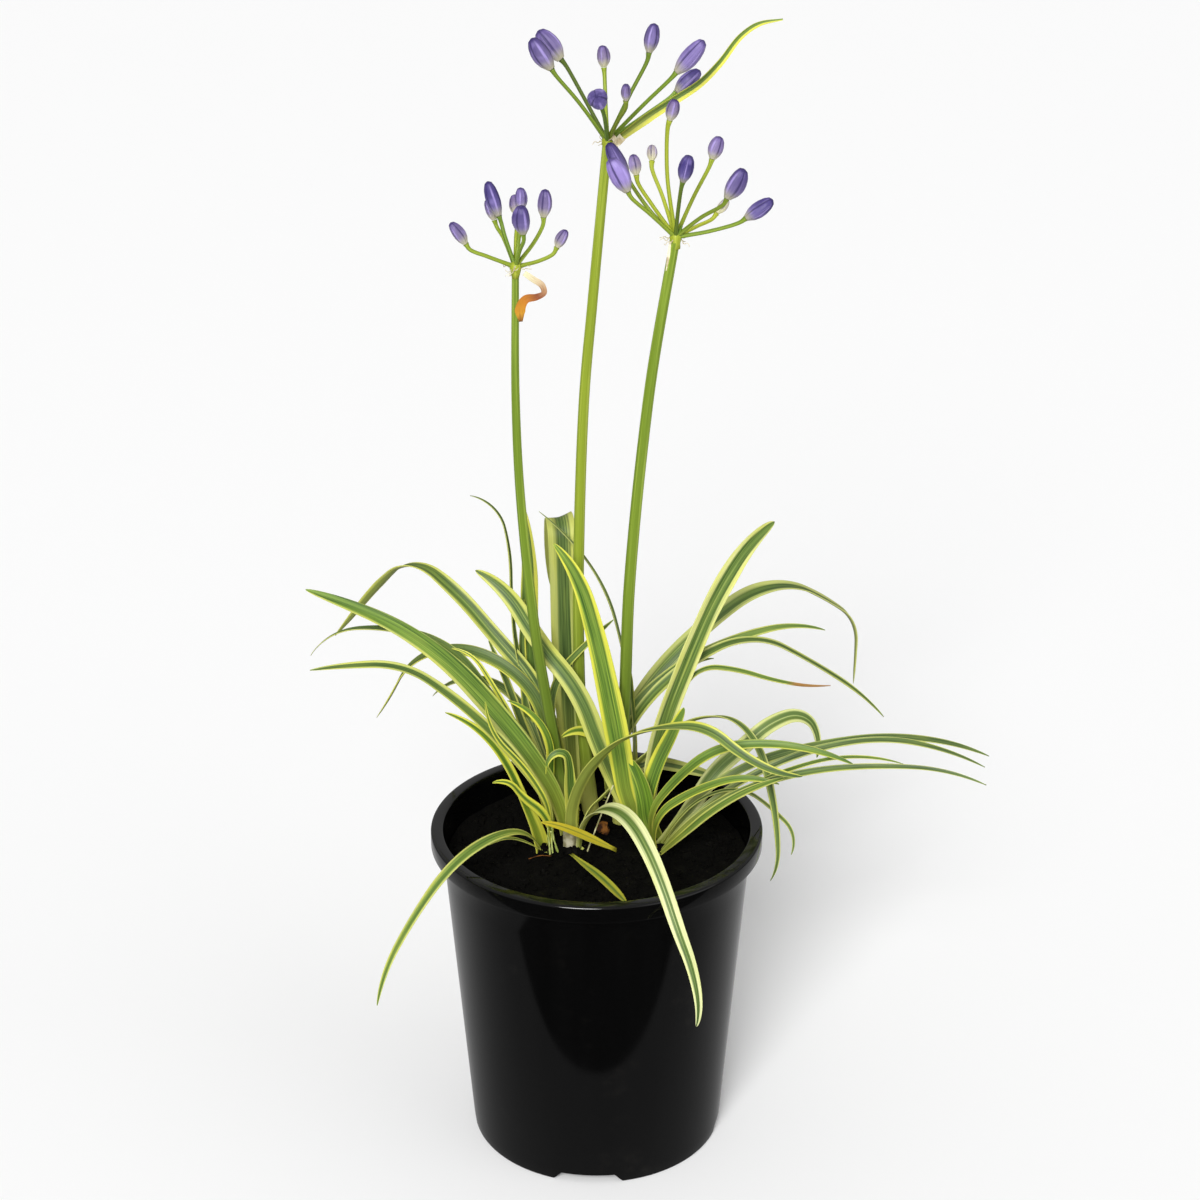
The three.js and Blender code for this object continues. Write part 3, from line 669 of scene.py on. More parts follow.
def leaf_finish(name, margins=(CREAM, PALE_CREAM, YELLOW), spots=0.9):
    """Spots is the chance below which a cell of the leaf carries no dark speck."""
    material, start, surface = new_finish(name, Specular_IOR_Level=0.35)
    across, along, share = note(start, "place")
    minus, plus, yellow = note(start, "looks")
    fresh, seed, under = note(start, "habit")
    half, dry, pale = note(start, "size")
    offset = across * half
    wander = noise(triple(along * 0.018, seed * 91.0, 0.0), 1.0, 1.0) - 0.5
    lines = noise(triple(offset * 0.95 + seed * 40.0, along * 0.008, seed * 17.0), 1.0, 1.0)
    veins = noise(triple(offset * 3.4 + seed * 23.0, along * 0.03, seed * 5.0), 1.0, 1.0)
    patch = noise(triple(offset * 0.25 + seed * 11.0, along * 0.03, seed * 61.0), 1.0, 2.0)
    ragged = 0.14 * wander + 0.2 * (lines - 0.5) + 0.05 * (veins - 0.5)
    from_plus = (1 - across) * 0.5 + ragged
    from_minus = (across + 1) * 0.5 - ragged
    green_part = step(from_plus - plus, -0.07, 0.08) * step(from_minus - minus, -0.07, 0.08)
    streak = step(lines, 0.64, 0.78) * 0.55
    stripes = step(0.55 * lines + 0.45 * veins, 0.3, 0.7)
    green = blend(fresh, blend(stripes, DULL_DARK, DULL_LIGHT), blend(stripes, FRESH_DARK, FRESH_LIGHT))
    golden = step(yellow + 0.7 * (patch - 0.5), 0.0, 1.0)
    margin = blend(golden, blend(pale, margins[0], margins[1]), margins[2])
    margin = blend(step(veins, 0.4, 0.75) * 0.35, margin, tint(0x93a648))
    colour = blend(green_part * (1 - streak), margin, green)
    colour = blend(step(patch, 0.5, 0.75) * 0.25, colour, tint(0x8d9a3c))
    colour = blend(step(share, 0.34, 0.02) * 0.36, colour, FOOT_PALE)
    colour = blend(under * 0.55, colour, UNDER_OLIVE)
    rim = step(abs(across), 0.93, 1.0)
    colour = blend(rim * 0.16, colour, tint(0xd9dc8a))
    withered = step(share - dry + 0.06 * wander, -0.01, 0.03)
    colour = blend(withered, colour, blend(veins, DRY_LIGHT, DRY_DARK))
    cells = start.node("ShaderNodeTexVoronoi", None,
                       {"Vector": triple(offset + seed * 300.0, along, seed * 70.0), "Scale": 0.1})
    chance = split(cells.out("Color"))
    speck = step(cells, 0.055, 0.03) * step(chance, spots, spots + 0.02)
    colour = blend(speck * 0.85, colour, tint(0x14160a))
    wear(surface,
         Base_Color=colour,
         Roughness=0.4 + 0.18 * veins + 0.25 * withered,
         Normal=bumped(0.75 * veins + 0.25 * lines, 0.3, 0.0003))
    return material


leaf_green = leaf_finish("striped_leaf")
dying = leaf_finish("dying_leaf", (tint(0x9c9c30), tint(0xb8ae44), tint(0xccb41c)), 0.55)
print("leaf finish:", len(leaf_green.node_tree.nodes), "nodes")

# %% [markdown]
# ## Growing a blade
# A leaf climbs from the crown and arches over. Its line is given by its pitch above the horizontal at
# even stations from root to tip and by its compass heading. The blade is a shallow channel about that
# line, thickest down the middle, with rounded edges and a pointed tip. Small seeded waves in width,
# twist and edge keep any two leaves from matching.

# %% Blade builder
EDGE = 0.7                  # thickness at the edges
KEEL = 1.3                  # thickness along the middle
RISE = 0.2                  # how far the edges stand above the middle, as a share of the half width
RING_STEP = 2.4             # distance between cross sections
ROOT_DEPTH = 5.0            # how far each blade goes on below its root, into the soil
SPREAD = np.sin(np.linspace(np.pi / 2, -np.pi / 2, 11))     # from one edge, 1, to the other, -1


def a_leaf(root, heading, pitch, length, width, twist, margins, yellow, fresh, **more):
    """What is known of a leaf: what every leaf has, and what sets this one apart from the usual."""
    usual = dict(base=0.42, swell=0.4, point=3, lift=2.0, dry=1.2, pale=0.0)
    own = dict(root=root, heading=heading, pitch=pitch, length=length, width=width, twist=twist,
               margins=margins, yellow=yellow, fresh=fresh)
    return {**usual, **own, **more}


def stations(values, t):
    """Values given at even stations from root to tip, read off at the shares t of the length."""
    return np.interp(t, np.linspace(0, 1, len(values)), values)


def leaf_line(leaf, t):
    """Places and directions at even shares of a leaf's length."""
    heading = np.radians(stations(leaf["heading"], t))
    pitch = np.radians(stations(leaf["pitch"], t))
    along = np.stack([np.cos(pitch) * np.cos(heading), np.cos(pitch) * np.sin(heading), np.sin(pitch)], 1)
    pace = leaf["length"] / (len(t) - 1)
    start = np.array([*leaf["root"], SOIL_TOP + leaf["lift"]])
    places = start + np.vstack([np.zeros(3), np.cumsum(along[:-1] * pace, axis=0)])
    side = np.stack([-np.sin(heading), np.cos(heading), np.zeros_like(heading)], 1)
    return places, along, side


def blade(leaf, generator):
    """A leaf's skin. Its line is walked in many small steps, of which the cross sections keep some."""
    sections = int(leaf["length"] / RING_STEP)
    steps = max(60, sections * 3) * 2
    t = np.linspace(0, 1, steps + 1)
    places, along, side = leaf_line(leaf, t)
    kept = np.append(np.linspace(0, 0.94, sections), np.linspace(0.95, 1, 7))
    keep = np.unique(np.round(kept * steps).astype(int))
    t, places, along, side = t[keep], places[keep], along[keep], side[keep]
    t, along, side = (np.concatenate([part[:1], part]) for part in (t, along, side))
    places = np.vstack([places[0] - ROOT_DEPTH * along[0], places])
    phase = generator.uniform(0, 2 * np.pi, 4)
    millimetres = t * leaf["length"]
    twist = np.radians(stations(leaf["twist"], t) + 3.0 * np.sin(millimetres / 23 + phase[0]) * t)[:, None]
    face = np.cross(along, side)
    side, face = side * np.cos(twist) + face * np.sin(twist), face * np.cos(twist) - side * np.sin(twist)
    base = leaf["base"]
    width = base + (1 - base) * np.sin(np.minimum(1, t / leaf["swell"]) * np.pi / 2)
    tip = np.maximum(0, 1 - t ** leaf["point"]) ** 0.5
    half = leaf["width"] / 2 * width * tip * (1 + 0.03 * np.sin(millimetres / 17 + phase[1]))
    half = np.maximum(half, 0.3)
    thin = np.clip(half / 2.2, 0.35, 1)
    keel = np.minimum(KEEL, EDGE + half * 0.1) * thin
    edge = EDGE * thin
    ripple = 0.05 * half * np.sin(millimetres / 9 + phase[2])
    half, keel, edge, ripple = (column[:, None] for column in (half, keel, edge, ripple))
    over = SPREAD[None] * (1 - 0.3 * edge / half)
    above = RISE * half * (abs(over) ** 1.35 - 0.5) + ripple * over * abs(over)
    below = above - (edge + (keel - edge) * (1 - abs(over)) ** 1.2)
    end = np.ones_like(half)
    rim = RISE / 2 * half - edge / 2
    u = np.hstack([over, -end, over[:, ::-1], end])
    height = np.hstack([above, rim - ripple, below[:, ::-1], rim + ripple])
    beneath = np.repeat([0.0, 0.5, 1.0, 0.5], [len(SPREAD), 1, len(SPREAD), 1])
    rings = places[:, None] + (u * half)[..., None] * side[:, None] + height[..., None] * face[:, None]
    notes = {"place": per_point(u.shape, u, millimetres[:, None], t[:, None]),
             "looks": per_point(u.shape, *leaf["margins"], leaf["yellow"]),
             "habit": per_point(u.shape, leaf["fresh"], generator.uniform(), beneath),
             "size": per_point(u.shape, half, leaf["dry"], leaf["pale"])}
    return skin(rings, notes)


print("blade builder: sections every", RING_STEP, "mm")

# %% [markdown]
# ## The shoots
# Eight fans of leaves make the clump. Each shoot has the foot and the radius of its neck, and its leaves.
# Each row below is one leaf: where it leaves the crown, its heading and its pitch in degrees from root
# to tip, its length and width, its twist in degrees, the pale shares of its width along its two edges,
# how yellow they are, and how fresh its green is. A row may add the width at its root (base), where it
# reaches its full width (swell), how blunt it ends (point), how far above the soil it starts (lift),
# where it is withered (dry) and how white its edges are (pale).

# %% Leaves of the left half
SHOOTS = {}
SHOOTS["front_left_shoot"] = {"foot": (-32, 1), "radius": 6.0, "leaves": [
    a_leaf((-33, 0), [190], [79, 69, 70, 61, 44, 23], 115, 7.4, [-50, -60], (0.34, 0.16), 0.8, 1.0,
           base=1.6, point=1.8),
    a_leaf((-30, 4), [192, 196], [108, 62, 54, 48, 40, 5, -3], 216, 7.5, [-60, -50], (0.26, 0.14), 0.35,
           0.3, point=2.5),
    a_leaf((-28, -2), [205], [105, 69, 43, 58, -8], 71, 7, [-50, -60], (0.28, 0.3), 0.9, 0.8, point=2),
    a_leaf((-30, 1), [195], [106, 64, 50, 88], 112, 4.5, [-45, -60], (0.3, 0.3), 0.7, 0.6),
    a_leaf((-34, -2), [231], [64, 16, -7, -32, -43, -76], 183, 6, [-30, -60], (0.16, 0.2), 0.35, 0.5),
    a_leaf((-34, -3), [205], [45, 26, -27], 38, 4, [0, 0], (0.2, 0.2), 0.5, 0.6),
]}
SHOOTS["left_shoot"] = {"foot": (-23, 20), "radius": 5.8, "leaves": [
    a_leaf((-19, 16), [178], [85, 61, 54, 50, 38, 24, 19], 232, 13.8, [-62, -52], (0.03, 0.14), 0.35,
           0.75, base=0.5, point=2.2),
    a_leaf((-22, 22), [168], [98, 60, 50, 56, 12, -9, -60], 236, 6.4, [-50, -50, -30, 10], (0.08, 0.1),
           0.4, 0.3),
    a_leaf((-25, 20), [165], [64, 72, 76, 64, 60, 57, -5], 139, 4.5, [-20, -40], (0.3, 0.4), 0.75, 0.4),
    a_leaf((-26, 20), [180], [78, 90, 93, 57, 19], 100, 8, [-45, -50], (0.08, 0.3), 1.0, 0.9, point=1.6),
]}
SHOOTS["back_left_shoot"] = {"foot": (-18, 54), "radius": 9.0, "leaves": [
    a_leaf((-13, 48), [158, 150], [71, 76, 67, 43, 44, 31, -45, -52, -51], 281, 10.5,
           [-60, -58, -52, -25, 35, 30], (0.18, 0.16), 0.45, 0.25, lift=2.8),
    a_leaf((-18, 48), [166, 160], [73, 78, 76, 40, 9, -29, -64, -58], 220, 9, [-55, -50, -30, 5],
           (0.06, 0.12), 0.7, 0.1),
    a_leaf((-22, 54), [140], [69, 60, -10, -50], 154, 6.5, [-50, -30], (0.15, 0.15), 0.3, 0.1),
    a_leaf((-22, 57), [160, 165], [74, 73, 73, 77, 86, 90, 77, 4], 216, 6, [0, 0], (0.14, 0.12), 0.2, 0.0),
    a_leaf((-23, 55), [150], [56, 64, 68, 60], 113, 6, [-60, -50], (0.16, 0.16), 0.5, 0.15),
    a_leaf((-16, 46), [-10, -7], [108, 102, 86, 50, 44], 146, 6, [75, 70], (0.1, 0.16), 0.5, 0.2),
    a_leaf((-18, 58), [150, 120], [36, 86, 86, 93, 67], 200, 12.4, [-60, -66], (0.24, 0.06), 0.7, 0.45,
           point=7),
    a_leaf((-14, 60), [118, 103, 94], [86, 79, 81, 83, 84, 84, 82, -60, -80, -85], 255, 17,
           [-40, -35, -25, -10, 0], (0.22, 0.26), 0.3, 0.12, base=0.6, point=9),
    a_leaf((-20, 56), [150, 130], [35, 80, 86, 99], 142, 6.5, [-60, -70], (0.2, 0.1), 0.7, 0.15),
]}
print("left half:", sum(len(s["leaves"]) for s in SHOOTS.values()), "leaves")

# %% Leaves of the back and the middle
SHOOTS["back_shoot"] = {"foot": (7, 70), "radius": 6.5, "leaves": [
    a_leaf((10, 70), [28], [102, 74, 53, 42, 33, 27, -2, -32, -39, -89, -95], 302, 10.8,
           [55, 55, 55, 58, 56, 45, 20, 8, 10, 20, 30], (0.16, 0.26), 0.1, 0.18, swell=0.35, point=5),
    a_leaf((7, 69), [20, 18], [98, 65, 37, 19, 6, -24], 202, 7.5, [55, 45], (0.16, 0.12), 0.3, 0.35,
           point=2.2),
]}
SHOOTS["back_right_shoot"] = {"foot": (18.5, 60), "radius": 7.4, "leaves": [
    a_leaf((16, 59), [8, 12], [112, 68, 44, 23, -32, -37, -52], 260, 7.5, [55, 50, 40, 5, 20, 35],
           (0.2, 0.18), 0.2, 0.3),
    a_leaf((15, 62), [21], [113, 63, 46, -5], 123, 4.6, [50, 50], (0.18, 0.18), 0.2, 0.1),
    a_leaf((18, 58), [-3, -22], [51, 66, 68, 73, 63, 1, -11, -1, 15], 188, 5, [30, 15], (0.14, 0.14),
           0.45, 0.45, dry=0.86),
    a_leaf((18, 60), [162], [106, 90, 80, 75, 52, 33], 208, 5, [-10, 10], (0.12, 0.12), 0.15, 0.1),
    a_leaf((17, 62), [30, -10, -40], [100, 64, 10, -4, -1, 4], 76, 8, [60, 70], (0.3, 0.3), 0.2, 0.0,
           point=6),
    a_leaf((20, 57), [60], [64, 98, 94], 90, 3, [10, 10], (0.3, 0.0), 0.5, 0.4, point=9, base=1.0),
    a_leaf((14, 56), [215, 205], [76, 76, 75, 70, 53, 15, -32], 80, 8.5, [-75, -70, -80], (0.25, 0.35),
           0.8, 0.8, point=4),
]}
SHOOTS["middle_shoot"] = {"foot": (-11.5, 4.5), "radius": 9.0, "leaves": [
    a_leaf((-9, 10), [46, 50, 32, 2, 30, 5, -30, -45, -53, -50, -50, -45, -40],
           [107, 16, 45, 40, 27, 9, -36, -68, -76, -86, -118], 248, 6.8, [-60, -60, -40, 0, 40, 40],
           (0.14, 0.16), 0.2, 0.15, base=0.5, swell=0.55, point=2.2),
    a_leaf((-13, 5), [-18, -24], [108, 78, 60, 45, 23, 11, -35, -18, 8], 206, 9, [-55, -45, -10, 45, 50],
           (0.04, 0.2), 0.6, 0.2, base=0.8, swell=0.35),
    a_leaf((-14, 12), [195], [88, 87, 86, 86, 89, 80, -27, -102], 76, 11, [-70, -70, -75, -60, -40],
           (0.08, 0.24), 0.6, 0.5, base=0.6, point=1.2),
    a_leaf((-11, -1), [-58, -65], [86, 53, 32, 7, -27, -41, -48, -41, -68, -114], 218, 10.5, [10, 55],
           (0.26, 0.3), 0.1, 0.25, pale=0.75),
]}
print("with the back and the middle:", sum(len(s["leaves"]) for s in SHOOTS.values()), "leaves")

# %% Leaves of the right half
SHOOTS["right_shoot"] = {"foot": (31.5, 16), "radius": 8.6, "leaves": [
    a_leaf((27, 16), [154], [60, 64, 68, 44, 56, 16], 195, 12.2, [-66, -60], (0.26, 0.2), 0.4, 0.3,
           base=0.7, point=6),
    a_leaf((32, 13), [162], [50, 82, 79, 78, 73, 46], 198, 14.8, [-72, -60], (0.2, 0.13), 0.9, 0.85,
           base=0.6),
    a_leaf((31, 22), [46, 50], [92, 73, 58, 53, 37, 8], 220, 15.2, [75, 72, 62], (0.16, 0.2), 0.45, 0.35,
           base=0.6, point=5, pale=0.6),
    a_leaf((30, 20), [14], [96, 78, 63, 66], 86, 9.4, [62, 62], (0.04, 0.2), 1.0, 0.8, base=0.7, point=5),
    a_leaf((36, 10), [150], [52, 84, 71, 56], 54, 13, [-75, -65], (0.03, 0.03), 0.6, 1.0, base=0.9,
           point=2.2),
]}
SHOOTS["front_right_shoot"] = {"foot": (38, -1), "radius": 7.6, "leaves": [
    a_leaf((39.5, 4), [45, 10], [25, 40, 48, 29, 35, 10, -65, -102], 157, 11.2, [54, 50, 45, 45, 70],
           (0.2, 0.18), 0.12, 0.2, base=0.65, pale=0.4),
    a_leaf((35, 3), [-6, -8], [112, 57, 43, 8, -8, -25], 166, 6.5, [50, 50], (0.12, 0.04), 0.6, 0.75),
    a_leaf((40, 4), [18, 14], [66, 30, 8, 0, -14, -30], 236, 5.8, [50, 50], (0.14, 0.08), 0.1, 0.0),
    a_leaf((41, 2), [12, 8], [51, 34, 20, 4, -18, -32], 223, 4.8, [48, 48], (0.16, 0.1), 0.15, 0.0),
    a_leaf((39, -5), [-10], [57, 39.5, 22.5, 10, 1, -23], 215, 5, [50, 45], (0.12, 0.1), 0.25, 0.1,
           point=2),
    a_leaf((42, -2), [-3], [52, 35, 18, -18], 162, 4, [20, 20], (0.15, 0.15), 0.4, 0.4),
    a_leaf((36, -3), [-12], [108, 40, 23, -17], 106, 6, [48, 45], (0.16, 0.06), 0.65, 0.75),
    a_leaf((39, -7), [-20], [48, 48, 37, 24], 100, 6, [45, 45], (0.2, 0.14), 0.4, 0.45),
    a_leaf((39, 3), [6, 8], [64, 50, 14, -40, -50, -109], 126, 3.4, [0, 0, 30, 80], (0.18, 0.18), 0.25,
           0.2, point=6),
]}
print("the whole clump:", sum(len(s["leaves"]) for s in SHOOTS.values()), "leaves")

# %% [markdown]
# ## The necks
# Where the leaves of a shoot meet, their bases wrap round each other in a short neck that stands in the
# soil. It is a turned skin with a wavy outline, so that it reads as wrapped layers. It takes the leaf
# finish with a pale, fresh note, and wet crumbs of mix lie heaped against it.

# %% Build the shoots
NECK_DEPTH = 12.0


def neck(foot, radius, generator):
    """The wrapped leaf bases of one shoot, which go down into the soil."""
    heights = np.array([-NECK_DEPTH, -2, -0.5, 0.6, 1.4, 2.0, 2.4, 2.6])
    outline = np.interp(heights, [-NECK_DEPTH, -0.5, 1.4, 2.4, 2.6], [1, 0.9, 0.7, 0.35, 0.1]) * radius
    angle = once_round(48)
    waves = ((3, 0.05), (5, 0.035), (9, 0.02))
    folds = sum(size * np.cos(count * angle + generator.uniform(0, 6.3)) for count, size in waves)
    reach = outline[:, None] * (0.95 + folds[None] * np.interp(heights, [-2, 3], [0, 1])[:, None])
    height = np.broadcast_to(SOIL_TOP + heights[:, None], reach.shape)
    rings = np.stack([foot[0] + reach * np.cos(angle), foot[1] + reach * np.sin(angle), height], -1)
    notes = {"place": per_point(reach.shape, np.cos(3 * angle), height - SOIL_TOP, 0.05),
             "looks": per_point(reach.shape, 0.1, 0.1, 0.4),
             "habit": per_point(reach.shape, 0.5, generator.uniform(), 0.8),
             "size": per_point(reach.shape, 6.0, 1.2, 0.0)}
    return skin(rings, notes)


growth = np.random.default_rng(3)
for shoot_name, shoot in SHOOTS.items():
    skins = [neck(shoot["foot"], shoot["radius"], growth)]
    skins += [blade(leaf, growth) for leaf in shoot["leaves"]]
    made = piece(shoot_name + "_leaves", skins, leaf_green, [shoot_name])
    print(shoot_name, len(made.data.polygons), "faces")

HEAP = 130                  # crumbs at each neck
heaped = []
for shoot in SHOOTS.values():
    for _ in range(HEAP):
        reach, angle = shoot["radius"] * draw.uniform(0.1, 1.25), draw.uniform(0, 2 * math.pi)
        size = draw.uniform(0.6, 2.0)
        x, y = shoot["foot"][0] + reach * math.cos(angle), shoot["foot"][1] + reach * math.sin(angle)
        height = SOIL_TOP + max(0.4, 3.6 * (1.15 - reach / shoot["radius"])) * draw.uniform(0.5, 1.0)
        heaped.append(lump((x, y, height), size, draw.uniform(0.5, 0.9), draw))
piece("crown_crumbs", heaped, earth, crease=CRUMB_CREASE)
print("crumbs heaped against the necks:", len(heaped))

# %% [markdown]
# ## Two loose leaves
# One dying leaf has fallen against the crown and gone yellow, with dark spots near its end. Another
# lies on the soil, olive yellow, its end torn off square.

# %% Loose leaves
fallen = a_leaf((8.5, -3), [206], [36, 35, 31, 20], 54, 7.2, [-40, -50], (0.42, 0.5), 0.7, 0.4, lift=3.5,
                point=2, swell=0.6)
lying = a_leaf((-13, -12), [-56, -66], [0, 2, -1, 0], 62, 6.2, [0, 0], (0.3, 0.34), 0.2, 0.4, lift=2,
               point=6)
piece("yellow_fallen_leaf", [blade(fallen, growth)], dying, ["fallen_yellow_leaf"])
piece("olive_lying_leaf", [blade(lying, growth)], dying, ["leaf_lying_on_soil"])
print("two loose leaves lie on the soil")

# %% [markdown]
# ## Flower stems
# Each stem is a smooth round stalk, bright green with lighter streaks, thickest at its pale foot, with a
# knob at its top. From there the flower stalks spread like the ribs of an umbrella, yellower when
# young, and each widens a little where it carries its bud. Low down, among the leaves, the stalks are
# drawn darker: painted shade.

# %% Stem finish
def stalk_finish(name):
    material, start, surface = new_finish(name, Specular_IOR_Level=0.25)
    round_it, along, _ = note(start, "place")
    pale, seed, dull = note(start, "looks")
    ring = triple(round_it.math("COSINE", round_it), round_it.math("SINE", round_it), along * 0.004 + seed)
    streaks = noise(ring, 2.6, 3.0)
    fine = noise(triple(round_it * 9.0, along * 0.02, seed * 9.0), 1.0, 2.0)
    base = blend(pale, tint(0x56761f), tint(0xb2b82e))
    colour = blend(step(streaks, 0.42, 0.7), base, blend(pale, tint(0x829f3c), tint(0xc8c848)))
    colour = blend(step(fine, 0.5, 0.75) * 0.3, colour, tint(0x446220))
    colour = blend(dull, colour, tint(0x35451c))
    height = split(coordinates(start), 2)
    # painted shade: low on the stems, where the leaves shade them, the green is drawn darker
    colour = blend(step(height, 0.36, 0.27) * 0.5, colour, tint(0x4c5f1e))
    colour = blend(step(height + 0.04 * (streaks - 0.5), 0.228, 0.194) * 0.75, colour, tint(0xb4b25c))
    wear(surface, Base_Color=colour, Roughness=0.42 + 0.16 * fine, Normal=bumped(fine, 0.2, 0.0003))
    return material


stalk_green = stalk_finish("flower_stalk")
print("stalk finish:", len(stalk_green.node_tree.nodes), "nodes")

# %% [markdown]
# Each stem has its line, its radii at the foot and at the head, how much thicker it is where it leaves
# the soil (foot), and how yellow it (pale) and its flower stalks (stalks) are. Each row is one bud: its
# foot and the middle of its stalk, counted from the flower head, the way it points, its length and
# width, and its age from 0 to 1. A row may add how dull its stalk is and how bright its petals are.

# %% Stems and buds, one row each
STALK_RADIUS = 1.1


def a_bud(base, bend, points, length, width, age, dull=0.0, bright=0.0):
    return dict(base=base, bend=bend, points=points, length=length, width=width, age=age, dull=dull,
                bright=bright)


STEMS = {}
STEMS["left"] = {"stalks": 0.05, "radii": (4.2, 1.95), "foot": 0.4, "pale": 0.15, "line": [
    (-19, 34, 170), (-20, 34, 190), (-22, 33, 212), (-27, 30, 253), (-36, 27, 316), (-44, 22, 407),
    (-46, 18, 470), (-45, 14, 549)], "buds": [
    a_bud((-27, -6, 15), (-15, -4, 7), (-8, -1, 12), 14.5, 7, 0.55),
    a_bud((-9, 8, 27), (-6, 5, 17), (-6, 1, 19), 20, 8, 0.95, dull=0.15),
    a_bud((-12, 18, 22), (-7, 11, 14), (-4, 3, 11), 12, 7, 0.6),
    a_bud((0, 26, 23), (0, 16, 12), (-1, 4, 10), 11, 7, 0.3),
    a_bud((3, 12, 29), (2, 7, 15), (0, 2, 12), 12.5, 7, 0.7, bright=0.15),
    a_bud((5, -14, 23), (3, -8, 12), (-1, -3, 16), 16.5, 10, 0.85),
    a_bud((16, -2, 29), (11, -1, 15), (1, 0, 15), 15.5, 8, 0.6),
    a_bud((23, 8, 9), (13, 5, 2), (5, 1, 9), 11, 6.5, 0.45)]}
STEMS["middle"] = {"stalks": 0.0, "radii": (3.85, 2.65), "foot": 1.8, "pale": 0.4, "line": [
    (-3, 50, 170), (-4, 50, 190), (-7, 50, 230), (-10, 51, 264), (-11, 51, 305), (-10.8, 52, 357),
    (-7.3, 52, 458), (-2.2, 53, 518), (6.2, 54, 610)], "buds": [
    a_bud((-26, 10, 44), (-13, 6, 23), (-12, 1, 15), 20, 11.5, 0.7, bright=0.08, dull=0.7),
    a_bud((-31, -6, 42), (-16, -4, 23), (-11, -1, 17), 20, 10.5, 0.75, dull=0.15),
    a_bud((-2, 22, 37), (-1, 13, 18), (-1, 3, 12), 12, 7.5, 0.45),
    a_bud((-5, -42, 32), (-2, -24, 20), (-1, -12, 5), 15, 11, 1.0, bright=0.2),
    a_bud((10, -22, 28), (6, -13, 15), (0, -3, 10), 10, 5.5, 0.4, dull=0.3),
    a_bud((23, 4, 49), (12, 2, 25), (3, 1, 16), 16, 8.5, 0.75, dull=0.3),
    a_bud((38, -10, 41), (20, -6, 22), (15, -2, 18), 23, 10, 0.8, bright=0.3),
    a_bud((39, 26, 22), (21, 16, 11), (14, 4, 12), 18, 9, 0.95)]}
STEMS["right"] = {"stalks": 0.15, "radii": (3.95, 2.85), "foot": 0.4, "pale": 0.18, "line": [
    (14, 36, 170), (14, 36, 203), (15.5, 35, 238), (17, 35, 272), (19, 34, 339), (22, 33, 384),
    (26.5, 32, 434), (32, 31, 483), (44.2, 30, 561.5)], "buds": [
    a_bud((-27, 11, 31.5), (-14, 7, 13), (-10, 0, 18), 22, 9, 0.85),
    a_bud((-27, -14, 30), (-14, -8, 15), (-10, -2, 19), 21, 11, 0.8, bright=0.6),
    a_bud((-22, 2, 35), (-13, 1, 18), (-2, 1, 11), 11.5, 7, 0.25),
    a_bud((-13, 26, 37), (-7, 16, 19), (0, 4, 8), 9, 6, 0.15),
    a_bud((-4, -4, 67), (-5, -2, 36), (3, -1, 12), 12, 7.5, 0.3),
    a_bud((3, -24, 38), (1, -14, 20), (3, -4, 15), 16, 8.5, 1.0, dull=0.45),
    a_bud((20, 6, 43), (10, 4, 22), (4, 1, 12), 13, 8.5, 0.5, bright=0.2),
    a_bud((28, -10, 25), (14, -6, 13), (9, -2, 17), 19, 10.5, 0.8, dull=0.25),
    a_bud((24, 22, 8), (13, 13, 3), (6, 3, 7), 10, 5.5, 0.05),
    a_bud((39, -4, 12), (19, -2, 4), (15, -1, 11), 18, 9, 0.95)]}
print("stems carry", [len(s["buds"]) for s in STEMS.values()], "buds")

# %% Build the stems
def unit(vector):
    """The same direction, one long."""
    vector = np.array(vector, float)
    return vector / np.linalg.norm(vector)


def flower_stalk(head, bud, pale, seed):
    """The stalk from a flower head to the cup under its bud, which it meets end on."""
    out, bend = unit(bud["points"]), np.array(bud["bend"], float)
    cup = np.array(bud["base"]) - 0.25 * out
    line = smooth_line([unit(bend) * 1.5, bend, cup - 4 * out, cup], 44) + head
    share = np.linspace(0, 1, len(line))
    radius = STALK_RADIUS * (1 + 0.35 * np.exp(-share * 9) + 0.55 * np.exp((share - 1) * 22))
    young = pale + 0.6 * (1 - bud["age"])
    return tube(line, radius, 14, rib=0.03, looks=(min(1.0, young), seed, bud["dull"]))


def stem_skins(stem, generator):
    """One stem, the knob on it and its flower stalks, with the place of its head."""
    thick, thin = stem["radii"]
    line = smooth_line(stem["line"], 170)
    head = line[-1]
    share = np.linspace(0, 1, len(line))
    radius = thick + (thin - thick) * share ** 0.8 + stem["foot"] * np.exp(-(share / 0.1) ** 2)
    knob = np.array([[thin * 0.98, -6.5], [2.8, -3.2], [3.1, -1.9], [3.3, -0.2], [3.0, 1.5], [2.0, 2.7],
                     [0.8, 3.1]])
    skins = [tube(line, radius, 28, rib=0.018, ribs=4, looks=(stem["pale"], generator.uniform(), 0))]
    skins.append(tube(head + np.outer(knob[:, 1], (0, 0, 1)), knob[:, 0], 28, rib=0.04, ribs=9,
                      looks=(0.6, 0.3, 0)))
    skins += [flower_stalk(head, bud, stem["stalks"], generator.uniform()) for bud in stem["buds"]]
    return head, skins


heads = {}
for stem_name, stem in STEMS.items():
    heads[stem_name], skins = stem_skins(stem, growth)
    piece(stem_name + "_stem", skins, stalk_green, [stem_name + "_flower_stem"])
print("heads at", {name: [round(float(v)) for v in head] for name, head in heads.items()})
